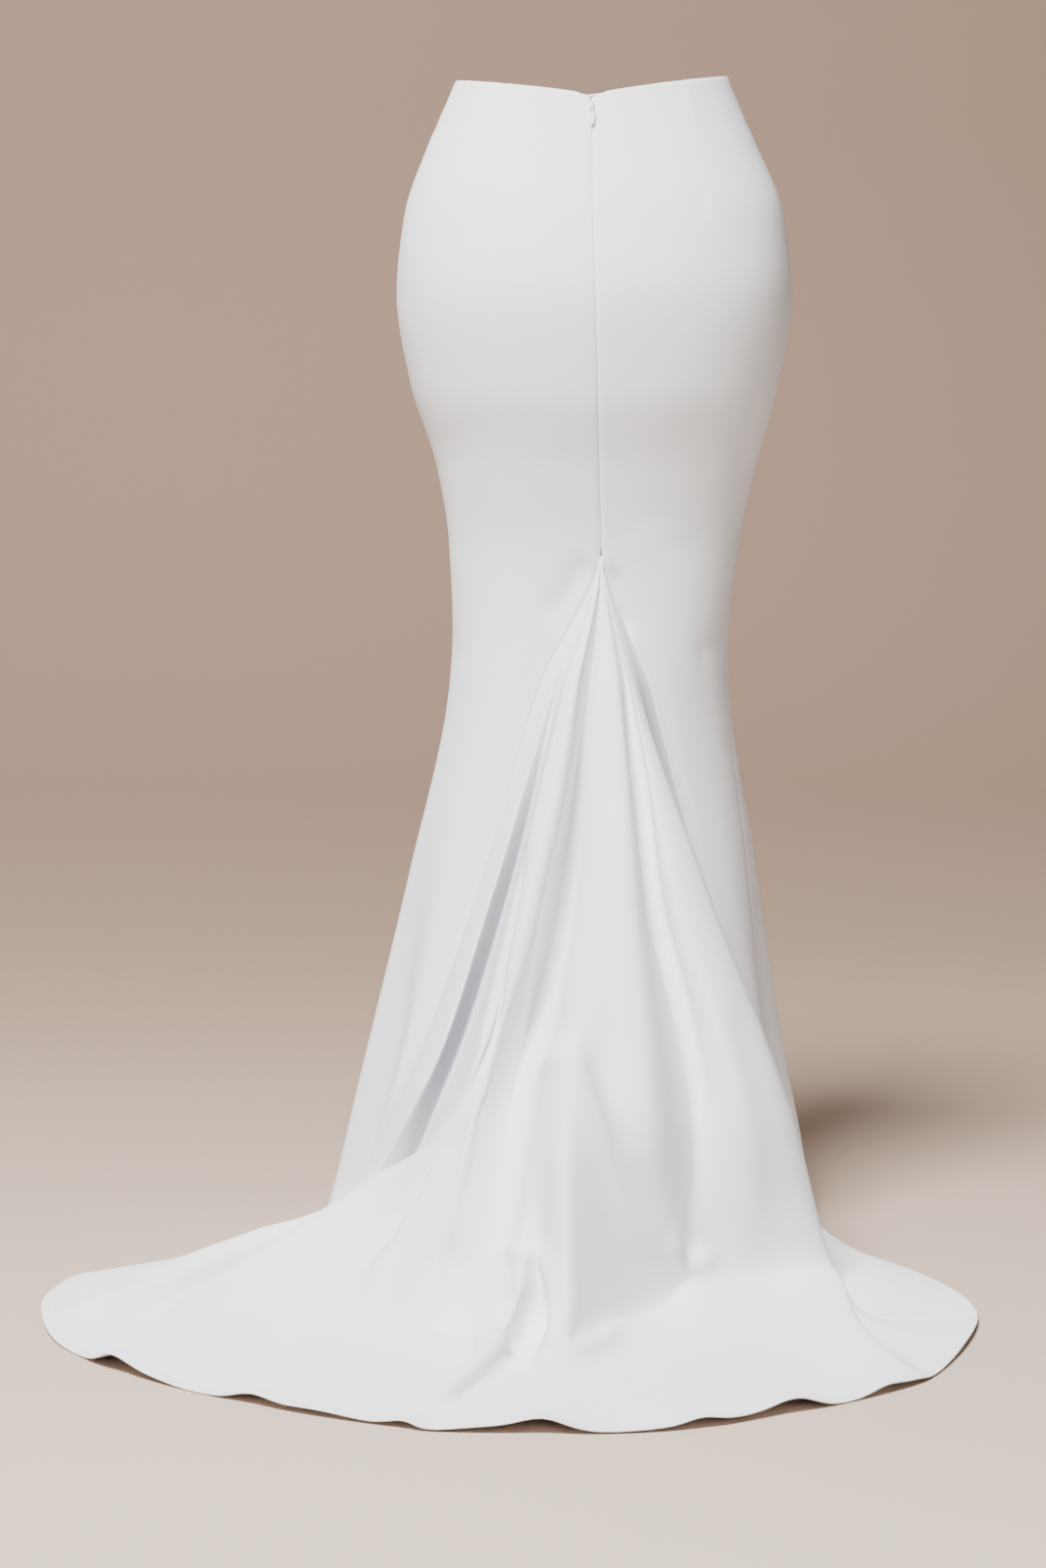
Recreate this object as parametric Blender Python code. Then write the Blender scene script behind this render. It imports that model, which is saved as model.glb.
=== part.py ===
"""Floor-length mermaid skirt in heavy satin, worn upright, seen from its centre back.

Cut: one front panel, two back panels with a waist dart each, a centre-back godet that
starts at knee height and spreads into a train, a waist facing, and a concealed zip.
X runs across the hips, -Y is the back, +Z is up, metres. The origin is the centre of
the waist opening. The tables are written with the floor at zero and x, y from the
waist centre; FLOOR_DROP moves the finished skirt so that the waist centre is at zero.
"""
import math

import bmesh
import bpy
import numpy as np

FLOOR_DROP = 1.066
THICK = 0.0012
SEAM_GAP = 0.0003
LAY_GAP = 0.0004
FACING_THICK = 0.0008
TAPE_THICK = 0.0007
TAPE_HALF_WIDTH = 0.0125
ZIP_OPEN = 0.0009
ZIP_END_HEIGHT = 0.855
DART_DEPTH = 0.0008
DART_END_HEIGHT = 0.955
APEX_HEIGHT = 0.644
APEX_HALF = 0.002
ZIP_TOP_HEIGHT = 1.0465
SLIDER_SIZE = (0.0050, 0.0018, 0.0110)
BRIDGE_HALF = 0.0030
BRIDGE_RISE = 0.0023
BRIDGE_THICK = 0.0008
BRIDGE_WIDTH = 0.0012
PULL_AXIS_RISE = 0.00078
PULL_THICK = 0.0008
PULL_BAR = 0.00045
PULL_HALF = 0.0021
PULL_LENGTH = 0.0170
PULL_SLOT = (0.0011, 0.0021)
PULL_SLOT_MIDDLE = 0.00255
KNEE_HEIGHT = 0.53
CALF_HEIGHT = 0.34
SHIN_HEIGHT = 0.17
ROUNDNESS = 2.2

# One row for each level of the close-fitting part and of the plain front flare.
SECTION_COLUMNS = ("height", "left", "right", "back", "front", "seam")
SECTIONS = (
    (1.090, 0.117, 0.120, 0.086, 0.092, -0.002),
    (1.065, 0.127, 0.130, 0.090, 0.094, -0.001),
    (1.020, 0.147, 0.150, 0.103, 0.100, 0.000),
    (0.950, 0.171, 0.178, 0.126, 0.106, 0.001),
    (0.880, 0.178, 0.185, 0.139, 0.108, 0.003),
    (0.800, 0.166, 0.174, 0.130, 0.108, 0.005),
    (0.720, 0.141, 0.153, 0.104, 0.106, 0.007),
    (0.644, 0.130, 0.137, 0.088, 0.102, 0.009),
    (0.530, 0.129, 0.130, 0.086, 0.100, 0.009),
    (0.340, 0.167, 0.160, 0.110, 0.128, 0.009),
    (0.170, 0.207, 0.187, 0.130, 0.162, 0.009),
    (0.000, 0.251, 0.221, 0.150, 0.205, 0.009),
)

# Fold lines round the skirt, each one a row. The first two columns are bearings from the
# centre back (degrees, right positive) at the waist and at the top of the godet. The rest
# are the line's plan position at the knee, calf and shin heights, then the position and
# height of its foot, of its middle on the floor, and of its end at the hem.
FOLD_COLUMNS = ("name", "waist_deg", "apex_deg", "knee_x", "knee_y", "calf_x", "calf_y",
                "shin_x", "shin_y", "foot_x", "foot_y", "foot_z",
                "floor_x", "floor_y", "floor_z", "hem_x", "hem_y", "hem_z")
BACK_LEFT_FOLDS = (
    ("side_seam", -90, -90, -.129, .002, -.165, .002, -.205, .004,
     -.246, .008, .006, -.252, .006, .002, -.256, .004, .000),
    ("side_ridge", -80, -76, -.127, -.020, -.168, -.022, -.209, -.022,
     -.250, -.024, .010, -.262, -.036, .003, -.272, -.055, .000),
    ("side_valley", -69, -62, -.119, -.042, -.156, -.048, -.181, -.054,
     -.226, -.058, .016, -.264, -.084, .006, -.302, -.115, .000),
    ("back_ridge", -56, -44, -.100, -.064, -.137, -.082, -.176, -.094,
     -.234, -.080, .030, -.292, -.126, .014, -.352, -.165, .000),
    ("back_face", -38, -21, -.070, -.080, -.119, -.090, -.168, -.100,
     -.239, -.092, .036, -.320, -.168, .020, -.412, -.197, .000),
)
GODET_FOLDS = (
    ("left_seam", 0, -1, -.046, -.084, -.104, -.092, -.166, -.108,
     -.242, -.102, .040, -.340, -.204, .026, -.456, -.188, .001),
    ("roll_face", 0, 0, -.038, -.088, -.100, -.116, -.161, -.138,
     -.243, -.112, .042, -.350, -.226, .030, -.483, -.265, .002),
    ("roll_ridge", 0, 0, -.033, -.098, -.090, -.134, -.150, -.160,
     -.240, -.124, .038, -.357, -.246, .027, -.478, -.345, .003),
    ("roll_under", 0, 0, -.029, -.096, -.090, -.110, -.148, -.132,
     -.231, -.138, .026, -.346, -.266, .012, -.457, -.418, .001),
    ("pocket", 0, 0, -.027, -.101, -.079, -.100, -.138, -.118,
     -.217, -.150, .012, -.322, -.272, .004, -.428, -.465, .000),
    ("pocket_wall", 0, 0, -.025, -.114, -.073, -.145, -.126, -.196,
     -.206, -.182, .034, -.309, -.280, .014, -.412, -.488, .001),
    ("sweep_ridge", 0, 0, -.023, -.130, -.070, -.210, -.120, -.276,
     -.200, -.226, .084, -.300, -.296, .034, -.398, -.503, .006),
    ("sweep_valley", 0, 0, -.020, -.133, -.065, -.216, -.114, -.283,
     -.182, -.320, .056, -.256, -.408, .003, -.335, -.558, .000),
    ("small_ridge", 0, 0, -.018, -.135, -.061, -.220, -.110, -.291,
     -.174, -.352, .050, -.226, -.428, .010, -.284, -.594, .000),
    ("left_crease", 0, 0, -.014, -.136, -.055, -.224, -.103, -.300,
     -.157, -.388, .016, -.192, -.505, .003, -.232, -.628, .005),
    ("deep_valley", 0, 0, -.004, -.112, -.030, -.176, -.074, -.262,
     -.092, -.440, .010, -.124, -.548, .002, -.168, -.658, .000),
    ("buckle_left", 0, 0, .001, -.116, -.022, -.188, -.056, -.300,
     -.071, -.432, .032, -.112, -.545, .006, -.154, -.665, .001),
    ("buckle_valley", 0, 0, .004, -.125, -.014, -.208, -.044, -.336,
     -.052, -.412, .022, -.100, -.545, .002, -.142, -.670, .000),
    ("buckle_ridge", 0, 0, .008, -.130, -.003, -.226, -.026, -.366,
     -.028, -.466, .030, -.056, -.566, .004, -.085, -.677, .005),
    ("centre_face", 0, 0, .014, -.132, .013, -.241, .008, -.340,
     .012, -.412, .014, .012, -.548, .002, .008, -.678, .001),
    ("right_face", 0, 0, .024, -.131, .036, -.239, .050, -.332,
     .062, -.352, .016, .070, -.508, .002, .080, -.663, .004),
    ("right_valley", 0, 0, .032, -.116, .055, -.204, .090, -.270,
     .093, -.318, .030, .108, -.474, .002, .138, -.630, .004),
    ("right_roll", 0, 0, .036, -.127, .078, -.224, .132, -.288,
     .152, -.286, .024, .170, -.445, .004, .192, -.598, .000),
    ("right_ridge", 0, 0, .040, -.122, .106, -.202, .172, -.246,
     .214, -.262, .024, .223, -.430, .018, .258, -.543, .004),
    ("right_pocket", 0, 0, .043, -.111, .092, -.130, .150, -.162,
     .206, -.236, .008, .227, -.398, .004, .276, -.518, .001),
    ("right_lap", 0, 0, .046, -.100, .094, -.108, .152, -.134,
     .208, -.214, .006, .244, -.380, .005, .313, -.425, .004),
)
BACK_RIGHT_FOLDS = (
    ("right_seam", 0, 1, .052, -.090, .102, -.093, .157, -.110,
     .211, -.186, .005, .252, -.346, .002, .332, -.337, .003),
    ("right_apron", 38, 21, .073, -.083, .114, -.086, .161, -.092,
     .210, -.140, .006, .262, -.262, .008, .324, -.274, .004),
    ("right_sweep", 56, 44, .097, -.065, .131, -.069, .166, -.070,
     .207, -.092, .006, .248, -.155, .007, .292, -.191, .003),
    ("right_shade", 73, 66, .117, -.040, .143, -.047, .168, -.050,
     .205, -.050, .006, .228, -.080, .004, .250, -.113, .001),
)
FRONT_COLUMNS = ("name", "bearing", "swell")
FRONT_FOLDS = (
    ("right_side", 90, 0.0),
    ("right_flank", 101, 0.0),
    ("right_hollow", 124, -0.030),
    ("right_flute", 150, 0.030),
    ("centre_front", 180, -0.015),
    ("left_flute", 210, 0.030),
    ("left_hollow", 236, -0.030),
    ("left_flank", 258, 0.0),
)
RIGHT_SIDE_LINE = ("side_seam", 90, 90, .129, -.004, .149, -.026, .166, -.032,
                   .203, -.024, .006, .214, -.022, .002, .222, -.018, .000)

# Rows between the named levels: apex to knee, knee to calf, calf to shin, shin to foot,
# foot to mid floor, mid floor to hem.
SPAN_ROWS = (4, 5, 5, 6, 4, 4)
TRIM_ROWS = 2
TRIM_STEP = 0.0225
BODY_HEIGHTS = (0.990, 0.955, 0.920, 0.885, 0.855, 0.820, 0.780, 0.740, 0.700, 0.670, 0.648)
BODY_FOLLOW = (0.5, 0.25, 0.1, 0.0, 0.0, 0.0, 0.0, 0.0, 0.0, 0.0, 0.0)
SIDE_COLUMNS = 3
GODET_COLUMNS = 2
FRONT_STEPS = 3


def smooth(xs, ys, x):
    """Monotone cubic through a short list of values."""
    n = len(xs)
    if x <= xs[0]:
        return ys[0]
    if x >= xs[-1]:
        return ys[-1]
    rise = [(ys[k + 1] - ys[k]) / (xs[k + 1] - xs[k]) for k in range(n - 1)]
    slope = [rise[0]]
    for k in range(1, n - 1):
        if rise[k - 1] * rise[k] <= 0.0:
            slope.append(0.0)
        else:
            w0 = 2 * (xs[k + 1] - xs[k]) + xs[k] - xs[k - 1]
            w1 = xs[k + 1] - xs[k] + 2 * (xs[k] - xs[k - 1])
            slope.append((w0 + w1) / (w0 / rise[k - 1] + w1 / rise[k]))
    slope.append(rise[-1])
    k = 0
    while x > xs[k + 1]:
        k += 1
    h = xs[k + 1] - xs[k]
    t = (x - xs[k]) / h
    return (ys[k] * (1 + 2 * t) * (1 - t) ** 2 + ys[k + 1] * t * t * (3 - 2 * t)
            + h * slope[k] * t * (1 - t) ** 2 - h * slope[k + 1] * t * t * (1 - t))


LEVELS = sorted(SECTIONS)
HEIGHTS = [row[0] for row in LEVELS]


def section(height, column):
    """A named size of the close fit at a height above the floor."""
    place = SECTION_COLUMNS.index(column)
    return smooth(HEIGHTS, [row[place] for row in LEVELS], height)


def ring(height, bearing):
    """Point midway in the wall of the close fit; bearing 0 is the centre back."""
    s = math.sin(math.radians(bearing))
    c = math.cos(math.radians(bearing))
    scale = (abs(s) ** ROUNDNESS + abs(c) ** ROUNDNESS) ** (-1.0 / ROUNDNESS)
    half = section(height, "right" if s > 0 else "left")
    depth = section(height, "back" if c > 0 else "front")
    shift = section(height, "seam") * max(c, 0.0) ** 2
    return np.array((half * s * scale + shift, -depth * c * scale, height))


def waist_edge(bearing):
    """Height of the waist edge: it dips at the zip and is nearly level in front."""
    s = abs(math.sin(math.radians(bearing)))
    c = math.cos(math.radians(bearing))
    low = 1.058 if c > 0 else 1.066
    tilt = 0.002 * math.sin(math.radians(bearing))
    notch = 0.003 * max(0.0, 1.0 - s / 0.10) if c > 0 else 0.0
    return low + (1.076 - low) * s ** 0.8 + tilt - notch


def through(p0, p1, p2, p3, t):
    """Point between p1 and p2 on the smooth curve through four points."""
    t0 = 0.0
    t1 = t0 + max(np.linalg.norm(p1 - p0), 1e-6) ** 0.5
    t2 = t1 + max(np.linalg.norm(p2 - p1), 1e-6) ** 0.5
    t3 = t2 + max(np.linalg.norm(p3 - p2), 1e-6) ** 0.5
    u = t1 + (t2 - t1) * t
    a1 = p0 * ((t1 - u) / (t1 - t0)) + p1 * ((u - t0) / (t1 - t0))
    a2 = p1 * ((t2 - u) / (t2 - t1)) + p2 * ((u - t1) / (t2 - t1))
    a3 = p2 * ((t3 - u) / (t3 - t2)) + p3 * ((u - t2) / (t3 - t2))
    b1 = a1 * ((t2 - u) / (t2 - t0)) + a2 * ((u - t0) / (t2 - t0))
    b2 = a2 * ((t3 - u) / (t3 - t1)) + a3 * ((u - t1) / (t3 - t1))
    return b1 * ((t2 - u) / (t2 - t1)) + b2 * ((u - t1) / (t2 - t1))


def fold_levels(row):
    """The six low points of a fold line, from knee to hem."""
    v = dict(zip(FOLD_COLUMNS, row))
    return (
        (v["knee_x"], v["knee_y"], KNEE_HEIGHT),
        (v["calf_x"], v["calf_y"], CALF_HEIGHT),
        (v["shin_x"], v["shin_y"], SHIN_HEIGHT),
        (v["foot_x"], v["foot_y"], v["foot_z"]),
        (v["floor_x"], v["floor_y"], v["floor_z"]),
        (v["hem_x"], v["hem_y"], v["hem_z"]),
    )


def front_levels(row):
    """The same six points of a plain line of the front flare."""
    bearing, swell = row[1], row[2]
    out = []
    for height, share in ((KNEE_HEIGHT, 0.1), (CALF_HEIGHT, 0.5), (SHIN_HEIGHT, 0.8),
                          (0.060, 1.0), (0.025, 1.0), (0.0, 1.0)):
        p = ring(height, bearing)
        out.append((p[0] * (1 + swell * share), p[1] * (1 + swell * share), height))
    return out


def all_lines():
    """Every line round the skirt in order, with its bearings and low points."""
    lines = []
    for row in BACK_LEFT_FOLDS:
        lines.append((row[1], row[2], fold_levels(row)))
    for row in GODET_FOLDS:
        lines.append((row[1], row[2], fold_levels(row)))
    for row in BACK_RIGHT_FOLDS:
        lines.append((row[1], row[2], fold_levels(row)))
    lines.append((90, 90, fold_levels(RIGHT_SIDE_LINE)))
    for row in FRONT_FOLDS[1:]:
        lines.append((row[1], row[1], front_levels(row)))
    return lines


LINES = all_lines()
LEFT_SEAM = len(BACK_LEFT_FOLDS)
RIGHT_SEAM = LEFT_SEAM + len(GODET_FOLDS)
RIGHT_SIDE = RIGHT_SEAM + len(BACK_RIGHT_FOLDS)


def low_points(line, share):
    """Low points of a column that lies between two fold lines."""
    n = len(LINES)
    out = []
    for level in range(6):
        p = [np.array(LINES[(line + k) % n][2][level]) for k in (-1, 0, 1, 2)]
        out.append(p[1] if share == 0 else through(p[0], p[1], p[2], p[3], share))
    return out


def along(points):
    """Rows of a column: a smooth curve in plan, falling evenly in height."""
    chord = [0.0]
    for a, b in zip(points, points[1:]):
        chord.append(chord[-1] + float(np.linalg.norm(b - a)))
    heights = [p[2] for p in points]
    rows = []
    for span, count in enumerate(SPAN_ROWS):
        k = span + 1
        after = points[k + 2] if k + 2 < len(points) else points[k + 1] * 2 - points[k]
        for step in range(count + (1 if span == len(SPAN_ROWS) - 1 else 0)):
            t = step / count
            p = through(points[k - 1], points[k], points[k + 1], after, t)
            z = smooth(chord, heights, chord[k] + (chord[k + 1] - chord[k]) * t)
            rows.append(np.array((p[0], p[1], max(z, 0.0) + THICK / 2)))
    return rows


def body_rows(waist_deg, apex_deg, dart):
    """Rows of a column from the waist edge down to the top of the godet."""
    edge = waist_edge(waist_deg)
    heights = [edge - TRIM_STEP * k for k in range(TRIM_ROWS + 1)]
    heights += [h + (edge - FLOOR_DROP) * f for h, f in zip(BODY_HEIGHTS, BODY_FOLLOW)]
    rows = []
    for height in heights:
        share = min(1.0, max(0.0, (FLOOR_DROP - height) / (FLOOR_DROP - APEX_HEIGHT)))
        p = ring(height, waist_deg + (apex_deg - waist_deg) * share)
        if dart and height > DART_END_HEIGHT:
            depth = DART_DEPTH * min(1.0, (height - DART_END_HEIGHT) / 0.06)
            p[:2] *= 1.0 - depth / float(np.linalg.norm(p[:2]))
        rows.append(p)
    return rows


def panel_grid(first, last, steps, centre_back=None):
    """Columns of a panel from one fold line to another, each a list of points."""
    n = len(LINES)
    columns = []
    for line in range(first, last):
        for step in range(steps):
            columns.append((line % n, step / steps))
    columns.append((last % n, 0.0))
    grid = []
    for line, share in columns:
        a = LINES[line]
        b = LINES[(line + 1) % n]
        ends = []
        for k in (0, 1):
            lo = a[k]
            hi = b[k]
            if hi < lo - 180:
                hi += 360
            ends.append(lo + (hi - lo) * share)
        at_centre = line == centre_back and share == 0
        if at_centre:
            ends[0] = 0.0
            ends[1] = 0.0
        dart = share == 0 and abs(ends[0]) == 38
        upper = body_rows(ends[0], ends[1], dart)
        top = ring(APEX_HEIGHT, ends[1])
        if at_centre:
            top[0] += -APEX_HALF if centre_back == LEFT_SEAM else APEX_HALF
        points = [upper[-3], top] + low_points(line, share)
        grid.append(upper + along(points))
    return grid


def godet_grid(steps):
    """Columns of the godet; all start on its narrow top edge."""
    count = (RIGHT_SEAM - LEFT_SEAM) * steps
    centre = ring(APEX_HEIGHT, 0)
    grid = []
    for j in range(count + 1):
        line = LEFT_SEAM + j // steps
        top = centre + np.array((APEX_HALF * (2.0 * j / count - 1.0), 0.0, 0.0))
        points = [top + np.array((0.0, 0.0, 0.03)), top] + low_points(line, (j % steps) / steps)
        grid.append(along(points))
    return grid


def bisectors(a, axis):
    """Mean of the unit steps on both sides of each point."""
    a = np.moveaxis(a, axis, 0)
    step = np.diff(a, axis=0)
    step = step / np.maximum(np.linalg.norm(step, axis=2, keepdims=True), 1e-9)
    mean = np.concatenate((step[:1], step[:-1] + step[1:], step[-1:]))
    return np.moveaxis(mean, 0, axis)


def grid_normals(grid):
    """Outward direction at each point of a grid, from its neighbours."""
    a = np.array(grid)
    n = np.cross(bisectors(a, 1), bisectors(a, 0))
    size = np.linalg.norm(n, axis=2, keepdims=True)
    return n / np.maximum(size, 1e-12)


def share_normals(grids):
    """Give both sides of a seam one outward direction."""
    total = {}
    normals = [grid_normals(g) for g in grids]
    for grid, n in zip(grids, normals):
        for i, column in enumerate(grid):
            for j, p in enumerate(column):
                key = tuple(np.round(p, 5))
                total[key] = total.get(key, 0.0) + n[i, j]
    for grid, n in zip(grids, normals):
        for i, column in enumerate(grid):
            for j, p in enumerate(column):
                v = total[tuple(np.round(p, 5))]
                n[i, j] = v / max(np.linalg.norm(v), 1e-9)
    return normals


def pull_edges(grid, gaps):
    """Draw the two side edges of a panel back from its seams, row by row."""
    out = [list(column) for column in grid]
    rows = len(grid[0])
    run = bisectors(np.array(grid), 1)
    for edge, inner, side in ((0, 1, 0), (-1, -2, 1)):
        for j in range(rows):
            v = grid[inner][j] - grid[edge][j]
            t = run[edge, j] / np.linalg.norm(run[edge, j])
            v = v - t * float(np.dot(v, t))
            size = max(float(np.linalg.norm(v)), 1e-9)
            out[edge][j] = grid[edge][j] + v * (gaps[side](j) / size)
    return out


def zip_gap(row):
    """Half of the opening left between the back panels over the zip."""
    deep = TRIM_ROWS + 1 + BODY_HEIGHTS.index(ZIP_END_HEIGHT)
    return ZIP_OPEN / 2 if row < deep else SEAM_GAP / 2


def even_gap(row):
    """Half of the gap at a closed seam."""
    return SEAM_GAP / 2


def between(low, high):
    """Triangles between two point rows, given as (share, vertex) lists."""
    faces = []
    i = 0
    j = 0
    while i < len(low) - 1 or j < len(high) - 1:
        step_low = j == len(high) - 1 or (i < len(low) - 1 and low[i + 1][0] <= high[j + 1][0])
        if step_low:
            faces.append((low[i][1], low[i + 1][1], high[j][1]))
            i += 1
        else:
            faces.append((low[i][1], high[j + 1][1], high[j][1]))
            j += 1
    return faces


def add_mesh(name, verts, faces, colour, roughness, metallic=0.0):
    """One closed object with its own material."""
    mesh = bpy.data.meshes.new(name)
    moved = [(float(p[0]), float(p[1]), float(p[2]) - FLOOR_DROP) for p in verts]
    mesh.from_pydata(moved, [], faces)
    mesh.update()
    obj = bpy.data.objects.new(name, mesh)
    bpy.context.collection.objects.link(obj)
    material = bpy.data.materials.new(name + "_finish")
    material.use_nodes = True
    shader = material.node_tree.nodes["Principled BSDF"]
    shader.inputs["Base Color"].default_value = (*colour, 1.0)
    shader.inputs["Roughness"].default_value = roughness
    shader.inputs["Metallic"].default_value = metallic
    mesh.materials.append(material)
    return obj


def sheet_solid(name, inner, outer, colour, roughness, steps=None):
    """Closed wall between two grids. Rows named in steps use fewer columns."""
    columns = len(inner)
    rows = len(inner[0])
    keep = [steps[j] if steps and j < len(steps) else 1 for j in range(rows)]
    verts = []
    where = {}
    for side, grid in enumerate((inner, outer)):
        for j in range(rows):
            for i in range(0, columns, keep[j]):
                where[side, i, j] = len(verts)
                verts.append(grid[i][j])
    faces = []
    for j in range(rows - 1):
        for side in (0, 1):
            upper = [(i, where[side, i, j]) for i in range(0, columns, keep[j])]
            lower = [(i, where[side, i, j + 1]) for i in range(0, columns, keep[j + 1])]
            if keep[j] == keep[j + 1]:
                strip = [(upper[k][1], upper[k + 1][1], lower[k + 1][1], lower[k][1])
                         for k in range(len(upper) - 1)]
            else:
                strip = between(upper, lower)
            faces += strip if side == 0 else [tuple(reversed(f)) for f in strip]
        for i, flip in ((0, False), (columns - 1, True)):
            f = (where[0, i, j], where[0, i, j + 1], where[1, i, j + 1], where[1, i, j])
            faces.append(tuple(reversed(f)) if flip else f)
    for j, flip in ((0, True), (rows - 1, False)):
        marks = list(range(0, columns, keep[j]))
        for a, b in zip(marks, marks[1:]):
            f = (where[0, a, j], where[0, b, j], where[1, b, j], where[1, a, j])
            faces.append(tuple(reversed(f)) if flip else f)
    return add_mesh(name, verts, faces, colour, roughness)


def offset(grid, normals, amount):
    """The grid moved along its outward directions."""
    return [[p + n * amount for p, n in zip(column, line)] for column, line in zip(grid, normals)]


SATIN = (0.86, 0.87, 0.90)
METAL_WHITE = (0.80, 0.80, 0.80)


def build_panels():
    """Front, two backs and godet as walls with a fine gap at each seam."""
    n = len(LINES)
    left = panel_grid(0, LEFT_SEAM, SIDE_COLUMNS, LEFT_SEAM)
    godet = godet_grid(GODET_COLUMNS)
    right = panel_grid(RIGHT_SEAM, RIGHT_SIDE, SIDE_COLUMNS, RIGHT_SEAM)
    front = panel_grid(RIGHT_SIDE, n, FRONT_STEPS)
    grids = [left, godet, right, front]
    normals = share_normals(grids)
    pulled = [
        pull_edges(left, (even_gap, zip_gap)),
        pull_edges(godet, (even_gap, even_gap)),
        pull_edges(right, (zip_gap, even_gap)),
        pull_edges(front, (even_gap, even_gap)),
    ]
    names = ("back_left", "godet", "back_right", "front")
    for name, grid, normal in zip(names, pulled, normals):
        steps = (14, 14, 2, 2) if name == "godet" else None
        inner = offset(grid, normal, -THICK / 2)
        sheet_solid(name, inner, offset(grid, normal, THICK / 2), SATIN, 0.42, steps)
    return grids, normals


def build_facing(grids, normals):
    """Facing inside the waist edge, laid on the panels' inner faces."""
    left, godet, right, front = grids
    order = [(right, normals[2], i) for i in range(1, len(right))]
    order += [(front, normals[3], i) for i in range(1, len(front))]
    order += [(left, normals[0], i) for i in range(1, len(left) - 1)]
    inner = []
    outer = []
    for grid, normal, i in order:
        rows = []
        for j in range(TRIM_ROWS + 1):
            p = grid[i][j].copy()
            if j == 0:
                p = p + (grid[i][1] - p) * 0.03
            rows.append((p, normal[i][j]))
        inner.append([p - m * (THICK / 2 + LAY_GAP + FACING_THICK) for p, m in rows])
        outer.append([p - m * (THICK / 2 + LAY_GAP) for p, m in rows])
    sheet_solid("waist_facing", inner, outer, SATIN, 0.5)


def build_tape(grids, normals):
    """Zip tape behind the opening, on the same facets as the two back panels."""
    left, godet, right, front = grids
    rows = TRIM_ROWS + 2 + BODY_HEIGHTS.index(ZIP_END_HEIGHT)
    columns = []
    for grid, normal, edge, inner in ((left, normals[0], -1, -2), (right, normals[2], 0, 1)):
        line = []
        for j in range(rows):
            a = grid[edge][j]
            b = grid[inner][j]
            share = TAPE_HALF_WIDTH / float(np.linalg.norm(b - a))
            p = a + (b - a) * share
            m = normal[edge][j] * (1 - share) + normal[inner][j] * share
            line.append((p, m / np.linalg.norm(m)))
        columns.append(line)
    middle = [(left[-1][j], normals[0][-1][j]) for j in range(rows)]
    inner = []
    outer = []
    for line in (columns[0], middle, columns[1]):
        moved = []
        for j, (p, m) in enumerate(line):
            q = p
            if j == 0:
                q = p + (line[1][0] - p) * 0.12
            moved.append((q, m))
        inner.append([q - m * (THICK / 2 + LAY_GAP + TAPE_THICK) for q, m in moved])
        outer.append([q - m * (THICK / 2 + LAY_GAP) for q, m in moved])
    sheet_solid("zip_tape", inner, outer, SATIN, 0.6)


def zip_frame():
    """Centre of the slider on the outer face, with the down and outward directions."""
    high = ring(ZIP_TOP_HEIGHT + 0.004, 0)
    low = ring(ZIP_TOP_HEIGHT - 0.022, 0)
    down = (low - high) / np.linalg.norm(low - high)
    across = np.array((1.0, 0.0, 0.0))
    outward = np.cross(down, across)
    outward = outward / np.linalg.norm(outward)
    if outward[1] > 0:
        outward = -outward
    down = down - outward * float(np.dot(down, outward))
    return ring(ZIP_TOP_HEIGHT, 0), down, outward


def placed(x, n, t):
    """Point given across, outward and down from the slider's centre on the cloth face."""
    centre, down, outward = zip_frame()
    return centre + np.array((x, 0.0, 0.0)) + outward * n + down * t


def block(name, size, centre, narrow):
    """Rounded block; its lower end is narrowed."""
    bm = bmesh.new()
    bmesh.ops.create_cube(bm, size=1.0)
    for v in bm.verts:
        v.co.x *= size[0] * (narrow if v.co.z > 0 else 1.0)
        v.co.y *= size[1]
        v.co.z *= size[2]
    bmesh.ops.bevel(bm, geom=bm.edges[:], offset=0.0005, segments=2, profile=0.5,
                    affect="EDGES")
    verts = []
    for v in bm.verts:
        verts.append(placed(v.co.x, v.co.y + centre[0], v.co.z + centre[1]))
    bm.verts.index_update()
    faces = [tuple(v.index for v in f.verts) for f in bm.faces]
    bm.free()
    return add_mesh(name, verts, faces, METAL_WHITE, 0.35)


def bridge_arch():
    """Small arch on the slider's face that carries the pull."""
    steps = 12
    base = LAY_GAP + THICK / 2 + SLIDER_SIZE[1]
    verts = []
    for k in range(steps + 1):
        a = math.pi * k / steps
        for reach in (-0.5, 0.5):
            t = -math.cos(a) * (BRIDGE_HALF + reach * BRIDGE_THICK)
            n = math.sin(a) * (BRIDGE_RISE + reach * BRIDGE_THICK)
            for x in (-BRIDGE_WIDTH / 2, BRIDGE_WIDTH / 2):
                verts.append(placed(x, base - 0.0004 + n, t))
    faces = []
    for k in range(steps):
        a = 4 * k
        b = a + 4
        faces.append((a, a + 1, b + 1, b))
        faces.append((a + 1, a + 3, b + 3, b + 1))
        faces.append((a + 3, a + 2, b + 2, b + 3))
        faces.append((a + 2, a, b, b + 2))
    end = 4 * steps
    faces.append((0, 2, 3, 1))
    faces.append((end, end + 1, end + 3, end + 2))
    return add_mesh("bridge_arch", verts, faces, METAL_WHITE, 0.35)


def outward_faces(obj):
    """Turn every face of a closed object outward."""
    bm = bmesh.new()
    bm.from_mesh(obj.data)
    bmesh.ops.recalc_face_normals(bm, faces=bm.faces[:])
    bm.to_mesh(obj.data)
    bm.free()


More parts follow.
